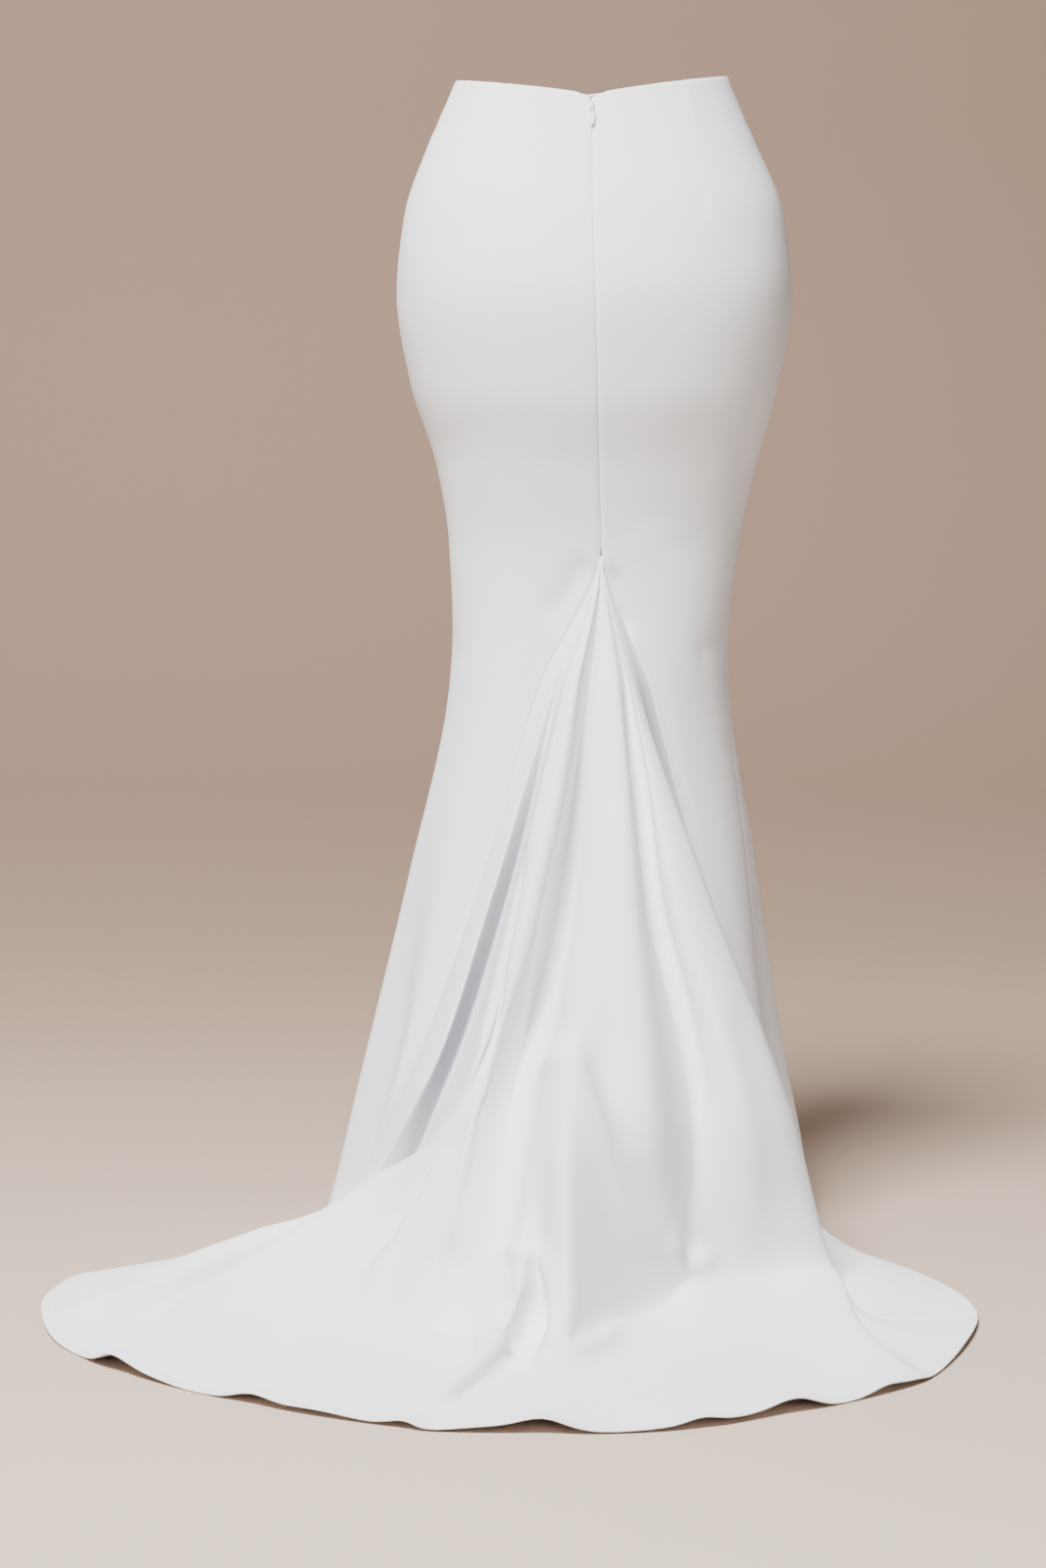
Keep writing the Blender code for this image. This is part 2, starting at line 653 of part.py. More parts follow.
def build_slider():
    """Slider body with its bridge, joined into one solid."""
    middle = LAY_GAP + THICK / 2 + SLIDER_SIZE[1] / 2
    body = block("zip_slider", SLIDER_SIZE, (middle, 0.0), 0.62)
    arch = bridge_arch()
    outward_faces(body)
    outward_faces(arch)
    join = body.modifiers.new("join", "BOOLEAN")
    join.operation = "UNION"
    join.solver = "EXACT"
    join.object = arch
    bpy.context.view_layer.update()
    graph = bpy.context.evaluated_depsgraph_get()
    mesh = bpy.data.meshes.new_from_object(body.evaluated_get(graph))
    body.modifiers.clear()
    body.data = mesh
    bpy.data.objects.remove(arch, do_unlink=True)


def build_pull():
    """Teardrop pull with a slot at its top that goes round the bridge."""
    axis_n = LAY_GAP + THICK / 2 + SLIDER_SIZE[1] + PULL_AXIS_RISE
    count = 24
    rim = []
    slot = []
    for k in range(count):
        a = 2 * math.pi * k / count
        s = math.sin(a)
        c = math.cos(a)
        slot_x = PULL_SLOT[0] * math.copysign(abs(s) ** 0.45, s)
        slot_t = PULL_SLOT_MIDDLE + PULL_SLOT[1] * math.copysign(abs(c) ** 0.45, c)
        slot.append((slot_x, slot_t))
        if c > 0:
            rim_t = PULL_SLOT_MIDDLE + (PULL_LENGTH - PULL_SLOT_MIDDLE) * c
            bulge = 1.0 + 0.35 * math.sin(math.pi * c)
            rim_x = PULL_HALF * math.copysign(abs(s) ** 0.8, s) * bulge
        else:
            rim_t = PULL_SLOT_MIDDLE + (PULL_SLOT_MIDDLE + PULL_BAR) * c
            rim_x = PULL_HALF * math.copysign(abs(s) ** 0.45, s)
        rim.append((rim_x, rim_t))
    verts = []
    for half in (-PULL_THICK / 2, PULL_THICK / 2):
        verts += [placed(x, axis_n + half, t) for x, t in rim]
        verts += [placed(x, axis_n + half, t) for x, t in slot]
    faces = []
    for k in range(count):
        m = (k + 1) % count
        faces.append((k, m, count + m, count + k))
        faces.append((2 * count + m, 2 * count + k, 3 * count + k, 3 * count + m))
        faces.append((m, k, 2 * count + k, 2 * count + m))
        faces.append((count + k, count + m, 3 * count + m, 3 * count + k))
    pull = add_mesh("zip_pull", verts, faces, METAL_WHITE, 0.35)
    outward_faces(pull)


def main():
    """Clear the scene and build every piece of the skirt."""
    for obj in list(bpy.data.objects):
        bpy.data.objects.remove(obj, do_unlink=True)
    grids, normals = build_panels()
    build_facing(grids, normals)
    build_tape(grids, normals)
    build_slider()
    build_pull()


main()
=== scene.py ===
"""Floor-length mermaid skirt in heavy ivory satin, dressed on its own solids.

The cloth is a thin shell on the form of the named panels: one front, two backs with a
waist dart each, and a centre-back godet that spreads into a train. X runs across the
hips, -Y is the back, +Z is up, in metres. The tables are written with the floor at zero,
and FLOOR_DROP moves everything so that the waist centre is at zero.
"""
import math
import bmesh
import bpy
import numpy as np
from bpy.props import FloatProperty, FloatVectorProperty, IntProperty
from mathutils import Matrix, Vector


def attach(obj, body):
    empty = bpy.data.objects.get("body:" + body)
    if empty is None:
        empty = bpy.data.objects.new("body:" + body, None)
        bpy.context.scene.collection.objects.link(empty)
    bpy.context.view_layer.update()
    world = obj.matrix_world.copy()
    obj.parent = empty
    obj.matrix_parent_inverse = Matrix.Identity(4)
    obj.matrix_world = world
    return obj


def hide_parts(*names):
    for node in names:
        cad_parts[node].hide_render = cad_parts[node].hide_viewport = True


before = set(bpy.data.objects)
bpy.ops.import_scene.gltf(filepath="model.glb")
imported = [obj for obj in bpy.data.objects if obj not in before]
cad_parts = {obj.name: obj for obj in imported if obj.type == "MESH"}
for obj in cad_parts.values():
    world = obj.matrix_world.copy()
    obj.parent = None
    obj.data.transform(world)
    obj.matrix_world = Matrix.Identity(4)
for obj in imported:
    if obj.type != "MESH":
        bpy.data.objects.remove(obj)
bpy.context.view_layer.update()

bl_info = {
    "name": "Mermaid Skirt",
    "version": (1, 0, 0),
    "blender": (4, 5, 0),
    "location": "View3D > Sidebar > Skirt",
    "description": "Satin mermaid skirt with a godet train and a concealed back zip",
    "category": "Object",
}

# Sizes shared with the solids.
FLOOR_DROP = 1.066
THICK = 0.0012
SEAM_GAP = 0.0003
LAY_GAP = 0.0004
FACING_THICK = 0.0008
TAPE_THICK = 0.0007
TAPE_HALF_WIDTH = 0.0125
ZIP_OPEN = 0.0009
ZIP_END_HEIGHT = 0.855
ABOVE_APEX_HEIGHT = 0.700
APEX_HEIGHT = 0.644
APEX_HALF = 0.0008
KNEE_HEIGHT = 0.53
CALF_HEIGHT = 0.34
SHIN_HEIGHT = 0.17
ROUNDNESS = 2.2

# One row for each level of the close-fitting part and of the plain front flare.
SECTION_COLUMNS = ("height", "left", "right", "back", "front", "seam")
SECTIONS = (
    (1.090, 0.117, 0.120, 0.086, 0.092, -0.002),
    (1.065, 0.127, 0.130, 0.090, 0.094, -0.001),
    (1.020, 0.147, 0.150, 0.103, 0.100, 0.000),
    (0.950, 0.171, 0.178, 0.126, 0.106, 0.001),
    (0.880, 0.178, 0.185, 0.139, 0.108, 0.003),
    (0.800, 0.166, 0.174, 0.130, 0.108, 0.005),
    (0.720, 0.141, 0.153, 0.104, 0.106, 0.007),
    (0.644, 0.130, 0.137, 0.088, 0.102, 0.009),
    (0.530, 0.129, 0.130, 0.086, 0.100, 0.009),
    (0.340, 0.167, 0.160, 0.110, 0.128, 0.009),
    (0.170, 0.207, 0.187, 0.130, 0.162, 0.009),
    (0.000, 0.251, 0.221, 0.150, 0.205, 0.009),
)

# Fold lines round the skirt, each one a row. The first two columns are bearings from the
# centre back (degrees, right positive) at the waist and at the top of the godet. The rest
# are the line's plan position at the knee, calf and shin heights, then the position and
# height of its foot, of its middle on the floor, and of its end at the hem.
FOLD_COLUMNS = ("name", "waist_deg", "apex_deg", "knee_x", "knee_y", "calf_x", "calf_y",
                "shin_x", "shin_y", "foot_x", "foot_y", "foot_z",
                "floor_x", "floor_y", "floor_z", "hem_x", "hem_y", "hem_z")
BACK_LEFT_FOLDS = (
    ("side_seam", -90, -90, -.129, .002, -.165, .002, -.205, .004,
     -.246, .008, .006, -.252, .006, .002, -.256, .004, .000),
    ("side_ridge", -80, -76, -.127, -.020, -.168, -.022, -.209, -.022,
     -.250, -.024, .010, -.262, -.036, .003, -.272, -.055, .000),
    ("side_valley", -69, -62, -.119, -.042, -.156, -.048, -.181, -.054,
     -.226, -.058, .016, -.264, -.084, .006, -.302, -.115, .000),
    ("back_ridge", -56, -44, -.100, -.064, -.137, -.082, -.176, -.094,
     -.234, -.080, .030, -.292, -.126, .014, -.352, -.165, .000),
    ("back_face", -38, -21, -.070, -.080, -.119, -.090, -.168, -.100,
     -.239, -.092, .036, -.320, -.168, .020, -.412, -.197, .000),
)
GODET_FOLDS = (
    ("left_seam", 0, -1, -.046, -.084, -.104, -.092, -.166, -.108,
     -.242, -.102, .040, -.340, -.204, .026, -.456, -.188, .001),
    ("roll_face", 0, 0, -.038, -.088, -.100, -.116, -.161, -.138,
     -.243, -.112, .042, -.350, -.226, .030, -.483, -.265, .002),
    ("roll_ridge", 0, 0, -.033, -.098, -.090, -.134, -.150, -.160,
     -.240, -.124, .038, -.357, -.246, .027, -.478, -.345, .003),
    ("roll_under", 0, 0, -.029, -.096, -.090, -.110, -.148, -.132,
     -.231, -.138, .026, -.346, -.266, .012, -.457, -.418, .001),
    ("pocket", 0, 0, -.027, -.101, -.079, -.100, -.138, -.118,
     -.217, -.150, .012, -.322, -.272, .004, -.428, -.465, .000),
    ("pocket_wall", 0, 0, -.025, -.114, -.073, -.145, -.126, -.196,
     -.206, -.182, .034, -.309, -.280, .014, -.412, -.488, .001),
    ("sweep_ridge", 0, 0, -.023, -.130, -.070, -.210, -.120, -.276,
     -.200, -.226, .084, -.300, -.296, .034, -.398, -.503, .006),
    ("sweep_valley", 0, 0, -.020, -.133, -.065, -.216, -.114, -.283,
     -.182, -.320, .056, -.256, -.408, .003, -.335, -.558, .000),
    ("small_ridge", 0, 0, -.018, -.135, -.061, -.220, -.110, -.291,
     -.174, -.352, .050, -.226, -.428, .010, -.284, -.594, .000),
    ("left_crease", 0, 0, -.014, -.136, -.055, -.224, -.103, -.300,
     -.157, -.388, .016, -.192, -.505, .003, -.232, -.628, .005),
    ("deep_valley", 0, 0, -.004, -.112, -.030, -.176, -.074, -.262,
     -.092, -.440, .010, -.124, -.548, .002, -.168, -.658, .000),
    ("buckle_left", 0, 0, .001, -.116, -.022, -.188, -.056, -.300,
     -.071, -.432, .032, -.112, -.545, .006, -.154, -.665, .001),
    ("buckle_valley", 0, 0, .004, -.125, -.014, -.208, -.044, -.336,
     -.052, -.412, .022, -.100, -.545, .002, -.142, -.670, .000),
    ("buckle_ridge", 0, 0, .008, -.130, -.003, -.226, -.026, -.366,
     -.028, -.466, .030, -.056, -.566, .004, -.085, -.677, .005),
    ("centre_face", 0, 0, .014, -.132, .013, -.241, .008, -.340,
     .012, -.412, .014, .012, -.548, .002, .008, -.678, .001),
    ("right_face", 0, 0, .024, -.131, .036, -.239, .050, -.332,
     .062, -.352, .016, .070, -.508, .002, .080, -.663, .004),
    ("right_valley", 0, 0, .032, -.116, .055, -.204, .090, -.270,
     .093, -.318, .030, .108, -.474, .002, .138, -.630, .004),
    ("right_roll", 0, 0, .036, -.127, .078, -.224, .132, -.288,
     .152, -.286, .024, .170, -.445, .004, .192, -.598, .000),
    ("right_ridge", 0, 0, .040, -.122, .106, -.202, .172, -.246,
     .214, -.262, .024, .223, -.430, .018, .258, -.543, .004),
    ("right_pocket", 0, 0, .043, -.111, .092, -.130, .150, -.162,
     .206, -.236, .008, .227, -.398, .004, .276, -.518, .001),
    ("right_lap", 0, 0, .046, -.100, .094, -.108, .152, -.134,
     .208, -.214, .006, .244, -.380, .005, .313, -.425, .004),
)
BACK_RIGHT_FOLDS = (
    ("right_seam", 0, 1, .052, -.090, .102, -.093, .157, -.110,
     .211, -.186, .005, .252, -.346, .002, .332, -.337, .003),
    ("right_apron", 38, 21, .073, -.083, .114, -.086, .161, -.092,
     .210, -.140, .006, .262, -.262, .008, .324, -.274, .004),
    ("right_sweep", 56, 44, .097, -.065, .131, -.069, .166, -.070,
     .207, -.092, .006, .248, -.155, .007, .292, -.191, .003),
    ("right_shade", 73, 66, .117, -.040, .143, -.047, .168, -.050,
     .205, -.050, .006, .228, -.080, .004, .250, -.113, .001),
)
FRONT_COLUMNS = ("name", "bearing", "swell")
FRONT_FOLDS = (
    ("right_side", 90, 0.0),
    ("right_flank", 101, 0.0),
    ("right_hollow", 124, -0.030),
    ("right_flute", 150, 0.030),
    ("centre_front", 180, -0.015),
    ("left_flute", 210, 0.030),
    ("left_hollow", 236, -0.030),
    ("left_flank", 258, 0.0),
)
RIGHT_SIDE_LINE = ("side_seam", 90, 90, .129, -.004, .149, -.026, .166, -.032,
                   .203, -.024, .006, .214, -.022, .002, .222, -.018, .000)


def smooth(xs, ys, x):
    """Monotone cubic through a short list of values."""
    n = len(xs)
    if x <= xs[0]:
        return ys[0]
    if x >= xs[-1]:
        return ys[-1]
    rise = [(ys[k + 1] - ys[k]) / (xs[k + 1] - xs[k]) for k in range(n - 1)]
    slope = [rise[0]]
    for k in range(1, n - 1):
        if rise[k - 1] * rise[k] <= 0.0:
            slope.append(0.0)
        else:
            w0 = 2 * (xs[k + 1] - xs[k]) + xs[k] - xs[k - 1]
            w1 = xs[k + 1] - xs[k] + 2 * (xs[k] - xs[k - 1])
            slope.append((w0 + w1) / (w0 / rise[k - 1] + w1 / rise[k]))
    slope.append(rise[-1])
    k = 0
    while x > xs[k + 1]:
        k += 1
    h = xs[k + 1] - xs[k]
    t = (x - xs[k]) / h
    return (ys[k] * (1 + 2 * t) * (1 - t) ** 2 + ys[k + 1] * t * t * (3 - 2 * t)
            + h * slope[k] * t * (1 - t) ** 2 - h * slope[k + 1] * t * t * (1 - t))


LEVELS = sorted(SECTIONS)
HEIGHTS = [row[0] for row in LEVELS]


def section(height, column):
    """A named size of the close fit at a height above the floor."""
    place = SECTION_COLUMNS.index(column)
    return smooth(HEIGHTS, [row[place] for row in LEVELS], height)


def ring(height, bearing):
    """Point midway in the wall of the close fit; bearing 0 is the centre back."""
    s = math.sin(math.radians(bearing))
    c = math.cos(math.radians(bearing))
    scale = (abs(s) ** ROUNDNESS + abs(c) ** ROUNDNESS) ** (-1.0 / ROUNDNESS)
    half = section(height, "right" if s > 0 else "left")
    depth = section(height, "back" if c > 0 else "front")
    shift = section(height, "seam") * max(c, 0.0) ** 2
    return np.array((half * s * scale + shift, -depth * c * scale, height))


WAIST_BACK_HEIGHT = 1.058
WAIST_FRONT_HEIGHT = 1.066
WAIST_SIDE_HEIGHT = 1.076
WAIST_TILT = 0.002
WAIST_NOTCH, WAIST_NOTCH_WIDTH = 0.003, 0.10


def waist_edge(bearing):
    """Height of the waist edge: it dips at the zip and is nearly level in front."""
    s = abs(math.sin(math.radians(bearing)))
    c = math.cos(math.radians(bearing))
    low = WAIST_BACK_HEIGHT if c > 0 else WAIST_FRONT_HEIGHT
    tilt = WAIST_TILT * math.sin(math.radians(bearing))
    notch = WAIST_NOTCH * max(0.0, 1.0 - s / WAIST_NOTCH_WIDTH) if c > 0 else 0.0
    return low + (WAIST_SIDE_HEIGHT - low) * s ** 0.8 + tilt - notch


def through(p0, p1, p2, p3, t):
    """Point between p1 and p2 on the smooth curve through four points."""
    t0 = 0.0
    t1 = t0 + max(np.linalg.norm(p1 - p0), 1e-6) ** 0.5
    t2 = t1 + max(np.linalg.norm(p2 - p1), 1e-6) ** 0.5
    t3 = t2 + max(np.linalg.norm(p3 - p2), 1e-6) ** 0.5
    u = t1 + (t2 - t1) * t
    a1 = p0 * ((t1 - u) / (t1 - t0)) + p1 * ((u - t0) / (t1 - t0))
    a2 = p1 * ((t2 - u) / (t2 - t1)) + p2 * ((u - t1) / (t2 - t1))
    a3 = p2 * ((t3 - u) / (t3 - t2)) + p3 * ((u - t2) / (t3 - t2))
    b1 = a1 * ((t2 - u) / (t2 - t0)) + a2 * ((u - t0) / (t2 - t0))
    b2 = a2 * ((t3 - u) / (t3 - t1)) + a3 * ((u - t1) / (t3 - t1))
    return b1 * ((t2 - u) / (t2 - t1)) + b2 * ((u - t1) / (t2 - t1))


def fold_levels(row):
    """The six low points of a fold line, from knee to hem."""
    v = dict(zip(FOLD_COLUMNS, row))
    return (
        (v["knee_x"], v["knee_y"], KNEE_HEIGHT),
        (v["calf_x"], v["calf_y"], CALF_HEIGHT),
        (v["shin_x"], v["shin_y"], SHIN_HEIGHT),
        (v["foot_x"], v["foot_y"], v["foot_z"]),
        (v["floor_x"], v["floor_y"], v["floor_z"]),
        (v["hem_x"], v["hem_y"], v["hem_z"]),
    )


def front_levels(row):
    """The same six points of a plain line of the front flare."""
    v = dict(zip(FRONT_COLUMNS, row))
    out = []
    for height, share in ((KNEE_HEIGHT, 0.1), (CALF_HEIGHT, 0.5), (SHIN_HEIGHT, 0.8),
                          (0.060, 1.0), (0.025, 1.0), (0.0, 1.0)):
        p = ring(height, v["bearing"])
        grow = 1 + v["swell"] * share
        out.append((p[0] * grow, p[1] * grow, height))
    return out


def all_lines():
    """Every line round the skirt in order, with its bearings and low points."""
    lines = []
    for row in BACK_LEFT_FOLDS + GODET_FOLDS + BACK_RIGHT_FOLDS + (RIGHT_SIDE_LINE,):
        lines.append((row[1], row[2], fold_levels(row)))
    for row in FRONT_FOLDS[1:]:
        lines.append((row[1], row[1], front_levels(row)))
    return lines


LINES = all_lines()
LEFT_SEAM = len(BACK_LEFT_FOLDS)
RIGHT_SEAM = LEFT_SEAM + len(GODET_FOLDS)
RIGHT_SIDE = RIGHT_SEAM + len(BACK_RIGHT_FOLDS)


def low_points(line, share):
    """Low points of a column that lies between two fold lines."""
    n = len(LINES)
    out = []
    for level in range(6):
        p = [np.array(LINES[(line + k) % n][2][level]) for k in (-1, 0, 1, 2)]
        out.append(p[1] if share == 0 else through(p[0], p[1], p[2], p[3], share))
    return out


def bisectors(a, axis):
    """Mean of the unit steps on both sides of each point."""
    a = np.moveaxis(a, axis, 0)
    step = np.diff(a, axis=0)
    step = step / np.maximum(np.linalg.norm(step, axis=2, keepdims=True), 1e-9)
    mean = np.concatenate((step[:1], step[:-1] + step[1:], step[-1:]))
    return np.moveaxis(mean, 0, axis)


def grid_normals(grid):
    """Outward direction at each point of a grid, from its neighbours."""
    a = np.array(grid)
    n = np.cross(bisectors(a, 1), bisectors(a, 0))
    size = np.linalg.norm(n, axis=2, keepdims=True)
    return n / np.maximum(size, 1e-12)


# Soft troughs and ridges over the main form, one row each: width, height (negative sinks
# in), and the path as (place round the skirt, level). Whole places are the fold lines in
# order from the left side seam. Levels: 0 waist edge, 1 top of the godet, 2 knee, 3 calf,
# 4 shin, 5 foot, 6 mid floor, 7 hem.
CREASE_COLUMNS = ("name", "width", "rise", "path")
CREASES = (
    ("apex_hollow_right", 0.007, -0.0040, ((26.1, 1.06), (26.15, 1.30), (26.1, 1.70))),
    ("apex_hollow_left", 0.012, -0.0035, ((4.8, 1.02), (4.6, 1.25), (4.3, 1.55))),
    ("apex_drag_right", 0.006, 0.0009, ((26.3, 0.99), (27.0, 0.96), (27.8, 0.93))),
    ("apex_drag_left", 0.006, 0.0007, ((4.7, 0.99), (4.2, 0.97), (3.6, 0.94))),
    ("seat_drag_left", 0.020, -0.0007, ((4.6, 0.70), (3.0, 0.74), (1.2, 0.82))),
    ("seat_drag_right", 0.020, -0.0007, ((26.6, 0.72), (28.0, 0.76), (29.4, 0.84))),
    ("waist_pull_left", 0.007, -0.0004, ((4.8, 0.16), (4.2, 0.20), (3.4, 0.22))),
    ("waist_pull_right", 0.007, -0.0004, ((26.2, 0.14), (27.0, 0.19), (27.8, 0.23))),
    ("hip_pull_left", 0.014, -0.0005, ((0.4, 0.38), (1.4, 0.45), (2.4, 0.50))),
    ("hip_pull_right", 0.014, -0.0005, ((29.7, 0.40), (28.8, 0.47), (27.8, 0.52))),
    ("knee_break_left", 0.012, -0.0012, ((0.3, 1.70), (1.5, 1.82), (2.6, 1.86))),
    ("knee_break_right", 0.012, -0.0012, ((29.6, 1.66), (28.8, 1.78), (27.9, 1.84))),
    ("front_drag_left", 0.020, -0.0010, ((33.2, 0.95), (34.2, 1.05), (35.2, 1.10))),
    ("front_drag_right", 0.020, -0.0010, ((33.0, 1.10), (32.1, 1.06), (31.2, 0.98))),
    ("front_hip_left", 0.016, -0.0006, ((35.8, 0.44), (35.0, 0.49), (34.2, 0.52))),
    ("front_hip_right", 0.016, -0.0006, ((30.5, 0.46), (31.2, 0.51), (32.0, 0.54))),
    ("left_crisp", 0.004, 0.0034, ((12.2, 3.62), (13.6, 3.94), (14.0, 4.15), (14.1, 4.60),
                                   (14.1, 4.95), (14.2, 5.14), (14.4, 5.3))),
    ("left_facet", 0.024, -0.0110, ((14.2, 4.45), (14.5, 4.80), (14.8, 5.00))),
    ("facet_rim", 0.012, 0.0060, ((13.8, 5.00), (14.2, 5.14), (14.5, 5.03), (14.9, 5.14),
                                  (15.6, 5.37), (15.9, 5.45))),
    ("deep_trough", 0.026, -0.0060, ((16.4, 2.30), (16.1, 2.80), (16.1, 3.42), (15.9, 3.79),
                                     (15.5, 4.21), (15.2, 4.52), (15.1, 4.78))),
    ("column", 0.018, 0.0060, ((14.9, 1.81), (14.2, 2.55), (14.1, 3.12), (14.8, 3.79),
                               (14.75, 4.29), (14.6, 4.56))),
    ("left_leg", 0.011, 0.0060, ((15.8, 5.50), (15.3, 5.20), (15.0, 4.95), (14.95, 4.72),
                                 (15.15, 4.60), (15.45, 4.58), (16.0, 4.66), (16.4, 4.74))),
    ("arch_dip", 0.016, -0.0060, ((15.3, 4.70), (15.5, 4.95), (15.9, 5.30))),
    ("buckle_trough", 0.014, -0.0150, ((17.05, 4.74), (17.15, 5.00), (17.2, 5.35),
                                       (17.45, 5.70), (17.3, 6.10), (16.9, 6.50))),
    ("buckle_fold", 0.016, 0.0060, ((16.5, 4.90), (16.5, 5.40), (16.4, 5.60), (16.2, 5.90),
                                    (16.0, 6.25), (15.9, 6.70))),
    ("right_leg", 0.012, 0.0070, ((16.4, 4.74), (16.9, 4.63), (17.4, 4.67), (17.7, 4.85),
                                  (17.9, 5.10), (18.1, 5.24), (18.4, 5.36), (18.8, 5.27),
                                  (19.1, 5.06), (19.3, 4.90))),
    ("knob_top", 0.016, 0.0055, ((15.8, 4.01), (16.2, 3.79), (17.7, 3.67), (18.6, 3.83),
                                 (19.1, 4.19), (19.6, 4.43), (20.2, 4.58), (20.9, 4.74))),
    ("knob_hollow", 0.026, -0.0050, ((15.9, 3.75), (16.8, 3.56), (17.7, 3.50), (18.8, 3.66),
                                     (19.5, 4.00), (20.0, 4.30), (20.5, 4.48))),
    ("knob_body", 0.030, 0.0050, ((18.6, 3.75), (18.8, 4.05), (18.9, 4.40), (18.9, 4.75),
                                  (18.9, 5.05))),
    ("column_back", 0.007, -0.0080, ((10.8, 2.70), (10.9, 2.90), (11.4, 3.42), (13.2, 3.79),
                                     (14.2, 4.20))),
    ("sweep_line", 0.006, -0.0065, ((13.4, 3.94), (12.3, 4.15), (11.9, 4.30), (11.85, 4.60),
                                    (11.8, 5.00), (11.85, 5.45))),
    ("sweep_soft", 0.014, 0.0065, ((12.6, 4.20), (12.5, 4.70), (12.5, 5.30))),
    ("sweep_edge", 0.010, 0.0110, ((11.2, 4.30), (11.0, 4.80), (11.0, 5.30), (11.0, 5.80),
                                   (11.0, 6.20), (10.9, 6.60), (10.6, 6.95))),
    ("sweep_back", 0.011, -0.0120, ((10.2, 4.80), (10.2, 5.30), (10.2, 5.80), (10.1, 6.20),
                                    (10.0, 6.60), (9.8, 6.90))),
    ("right_trough", 0.009, -0.0085, ((22.4, 1.75), (21.2, 2.50), (21.0, 3.00), (21.15, 3.40),
                                      (21.05, 3.90), (20.95, 4.35), (20.85, 4.80))),
    ("right_drop_rim", 0.012, 0.0070, ((20.1, 4.50), (20.6, 4.84), (21.3, 4.76))),
    ("right_soft", 0.018, -0.0030, ((22.6, 3.38), (22.4, 3.83), (22.3, 4.34), (22.3, 4.79))),
    ("lobe_roll", 0.016, 0.0100, ((7.0, 5.10), (7.5, 5.50), (7.5, 5.90), (7.6, 6.30),
                                  (7.4, 6.65), (7.1, 6.95))),
)


# Places where the hem stands off the floor.
HEM_LEVEL = 7.0
HEM_LIFT_COLUMNS = ("place", "width", "rise")
HEM_LIFTS = (
    (10.6, 0.026, 0.0085),
    (13.1, 0.024, 0.0080),
    (15.6, 0.020, 0.0050),
    (18.4, 0.024, 0.0085),
    (20.0, 0.018, 0.0045),
    (21.3, 0.026, 0.0085),
    (22.6, 0.020, 0.0040),
)

# Widths and depths of the marks that the sewing leaves in the cloth.
SEAM_WIDTH = 0.0016
HEM_STEP_WIDTH = 0.0008
HEM_LINE_WIDTH = 0.0009
FACING_DEPTH = 0.045
FACING_MARK_WIDTH = 0.0022
WAIST_ROLL, WAIST_ROLL_WIDTH = 0.0005, 0.0012
DART_DEPTH, DART_WIDTH = 0.0016, 0.0020
DART_SWELL, DART_SWELL_WIDTH = 0.0006, 0.010
DART_POINT_DEPTH, DART_POINT_WIDTH = 0.0011, 0.007
CREASE_FADE = 0.22
CREASE_STEPS = 4


class SkirtSizes(bpy.types.PropertyGroup):
    """Sizes of the cloth and its finishing."""

    cloth_thickness: FloatProperty(
        name="Cloth thickness", description="Thickness of the satin shell",
        default=0.0012, min=0.0008, max=0.002, subtype="DISTANCE", unit="LENGTH")
    hem_band: FloatProperty(
        name="Hem band", description="Depth of the turned hem",
        default=0.008, min=0.004, max=0.02, subtype="DISTANCE", unit="LENGTH")
    hem_rise: FloatProperty(
        name="Hem rise", description="How far the turned hem stands proud of the cloth",
        default=0.0004, min=0.0, max=0.001, subtype="DISTANCE", unit="LENGTH")
    seam_depth: FloatProperty(
        name="Seam depth", description="How far the pressed seams sink in",
        default=0.0014, min=0.0, max=0.002, subtype="DISTANCE", unit="LENGTH")
    facing_mark: FloatProperty(
        name="Facing mark", description="Depth of the line that the facing's edge leaves",
        default=0.0006, min=0.0, max=0.001, subtype="DISTANCE", unit="LENGTH")
    stitch_pitch: FloatProperty(
        name="Stitch pitch", description="Distance from one hem stitch to the next",
        default=0.0032, min=0.002, max=0.006, subtype="DISTANCE", unit="LENGTH")
    coil_pitch: FloatProperty(
        name="Coil pitch", description="Distance from one turn of the zip coil to the next",
        default=0.0013, min=0.001, max=0.003, subtype="DISTANCE", unit="LENGTH")
    columns: IntProperty(
        name="Columns", description="Columns of cloth between two fold lines",
        default=12, min=4, max=16)


class SkirtColours(bpy.types.PropertyGroup):
    """Colours of the cloth, the zip and the stage."""

    satin: FloatVectorProperty(
        name="Satin", description="Colour of the satin", subtype="COLOR", size=3,
        default=(0.50, 0.59, 0.86), min=0.0, max=1.0)
    zip_metal: FloatVectorProperty(
        name="Zip metal", description="Colour of the painted slider and pull",
        subtype="COLOR", size=3, default=(0.80, 0.80, 0.80), min=0.0, max=1.0)
    # The paper's tone behind, darker as painted shade where less light reaches.
    backdrop: FloatVectorProperty(
        name="Backdrop", description="Colour of the backdrop",
        subtype="COLOR", size=3, default=(0.30, 0.205, 0.147), min=0.0, max=1.0)
    # The paper's tone in front, paler as painted light where more light falls.
    floor: FloatVectorProperty(
        name="Floor", description="Colour of the floor in front",
        subtype="COLOR", size=3, default=(0.60, 0.48, 0.395), min=0.0, max=1.0)


def sizes():
    """The scene's skirt sizes."""
    return bpy.context.scene.skirt_sizes


def colours():
    """The scene's skirt colours."""
    return bpy.context.scene.skirt_colours


# Rows between the named levels, and distances from an edge where it needs extra rows.
FINE_SPANS = (16, 20, 24, 42, 36, 20)
BODY_STEP = 0.010
EDGE_STEPS = (0.0, 0.0005, 0.0014, 0.0034)
HEM_STEPS = (0.0, 0.0006, 0.0022, 0.0060, 0.0072, 0.0080, 0.0088, 0.0100)


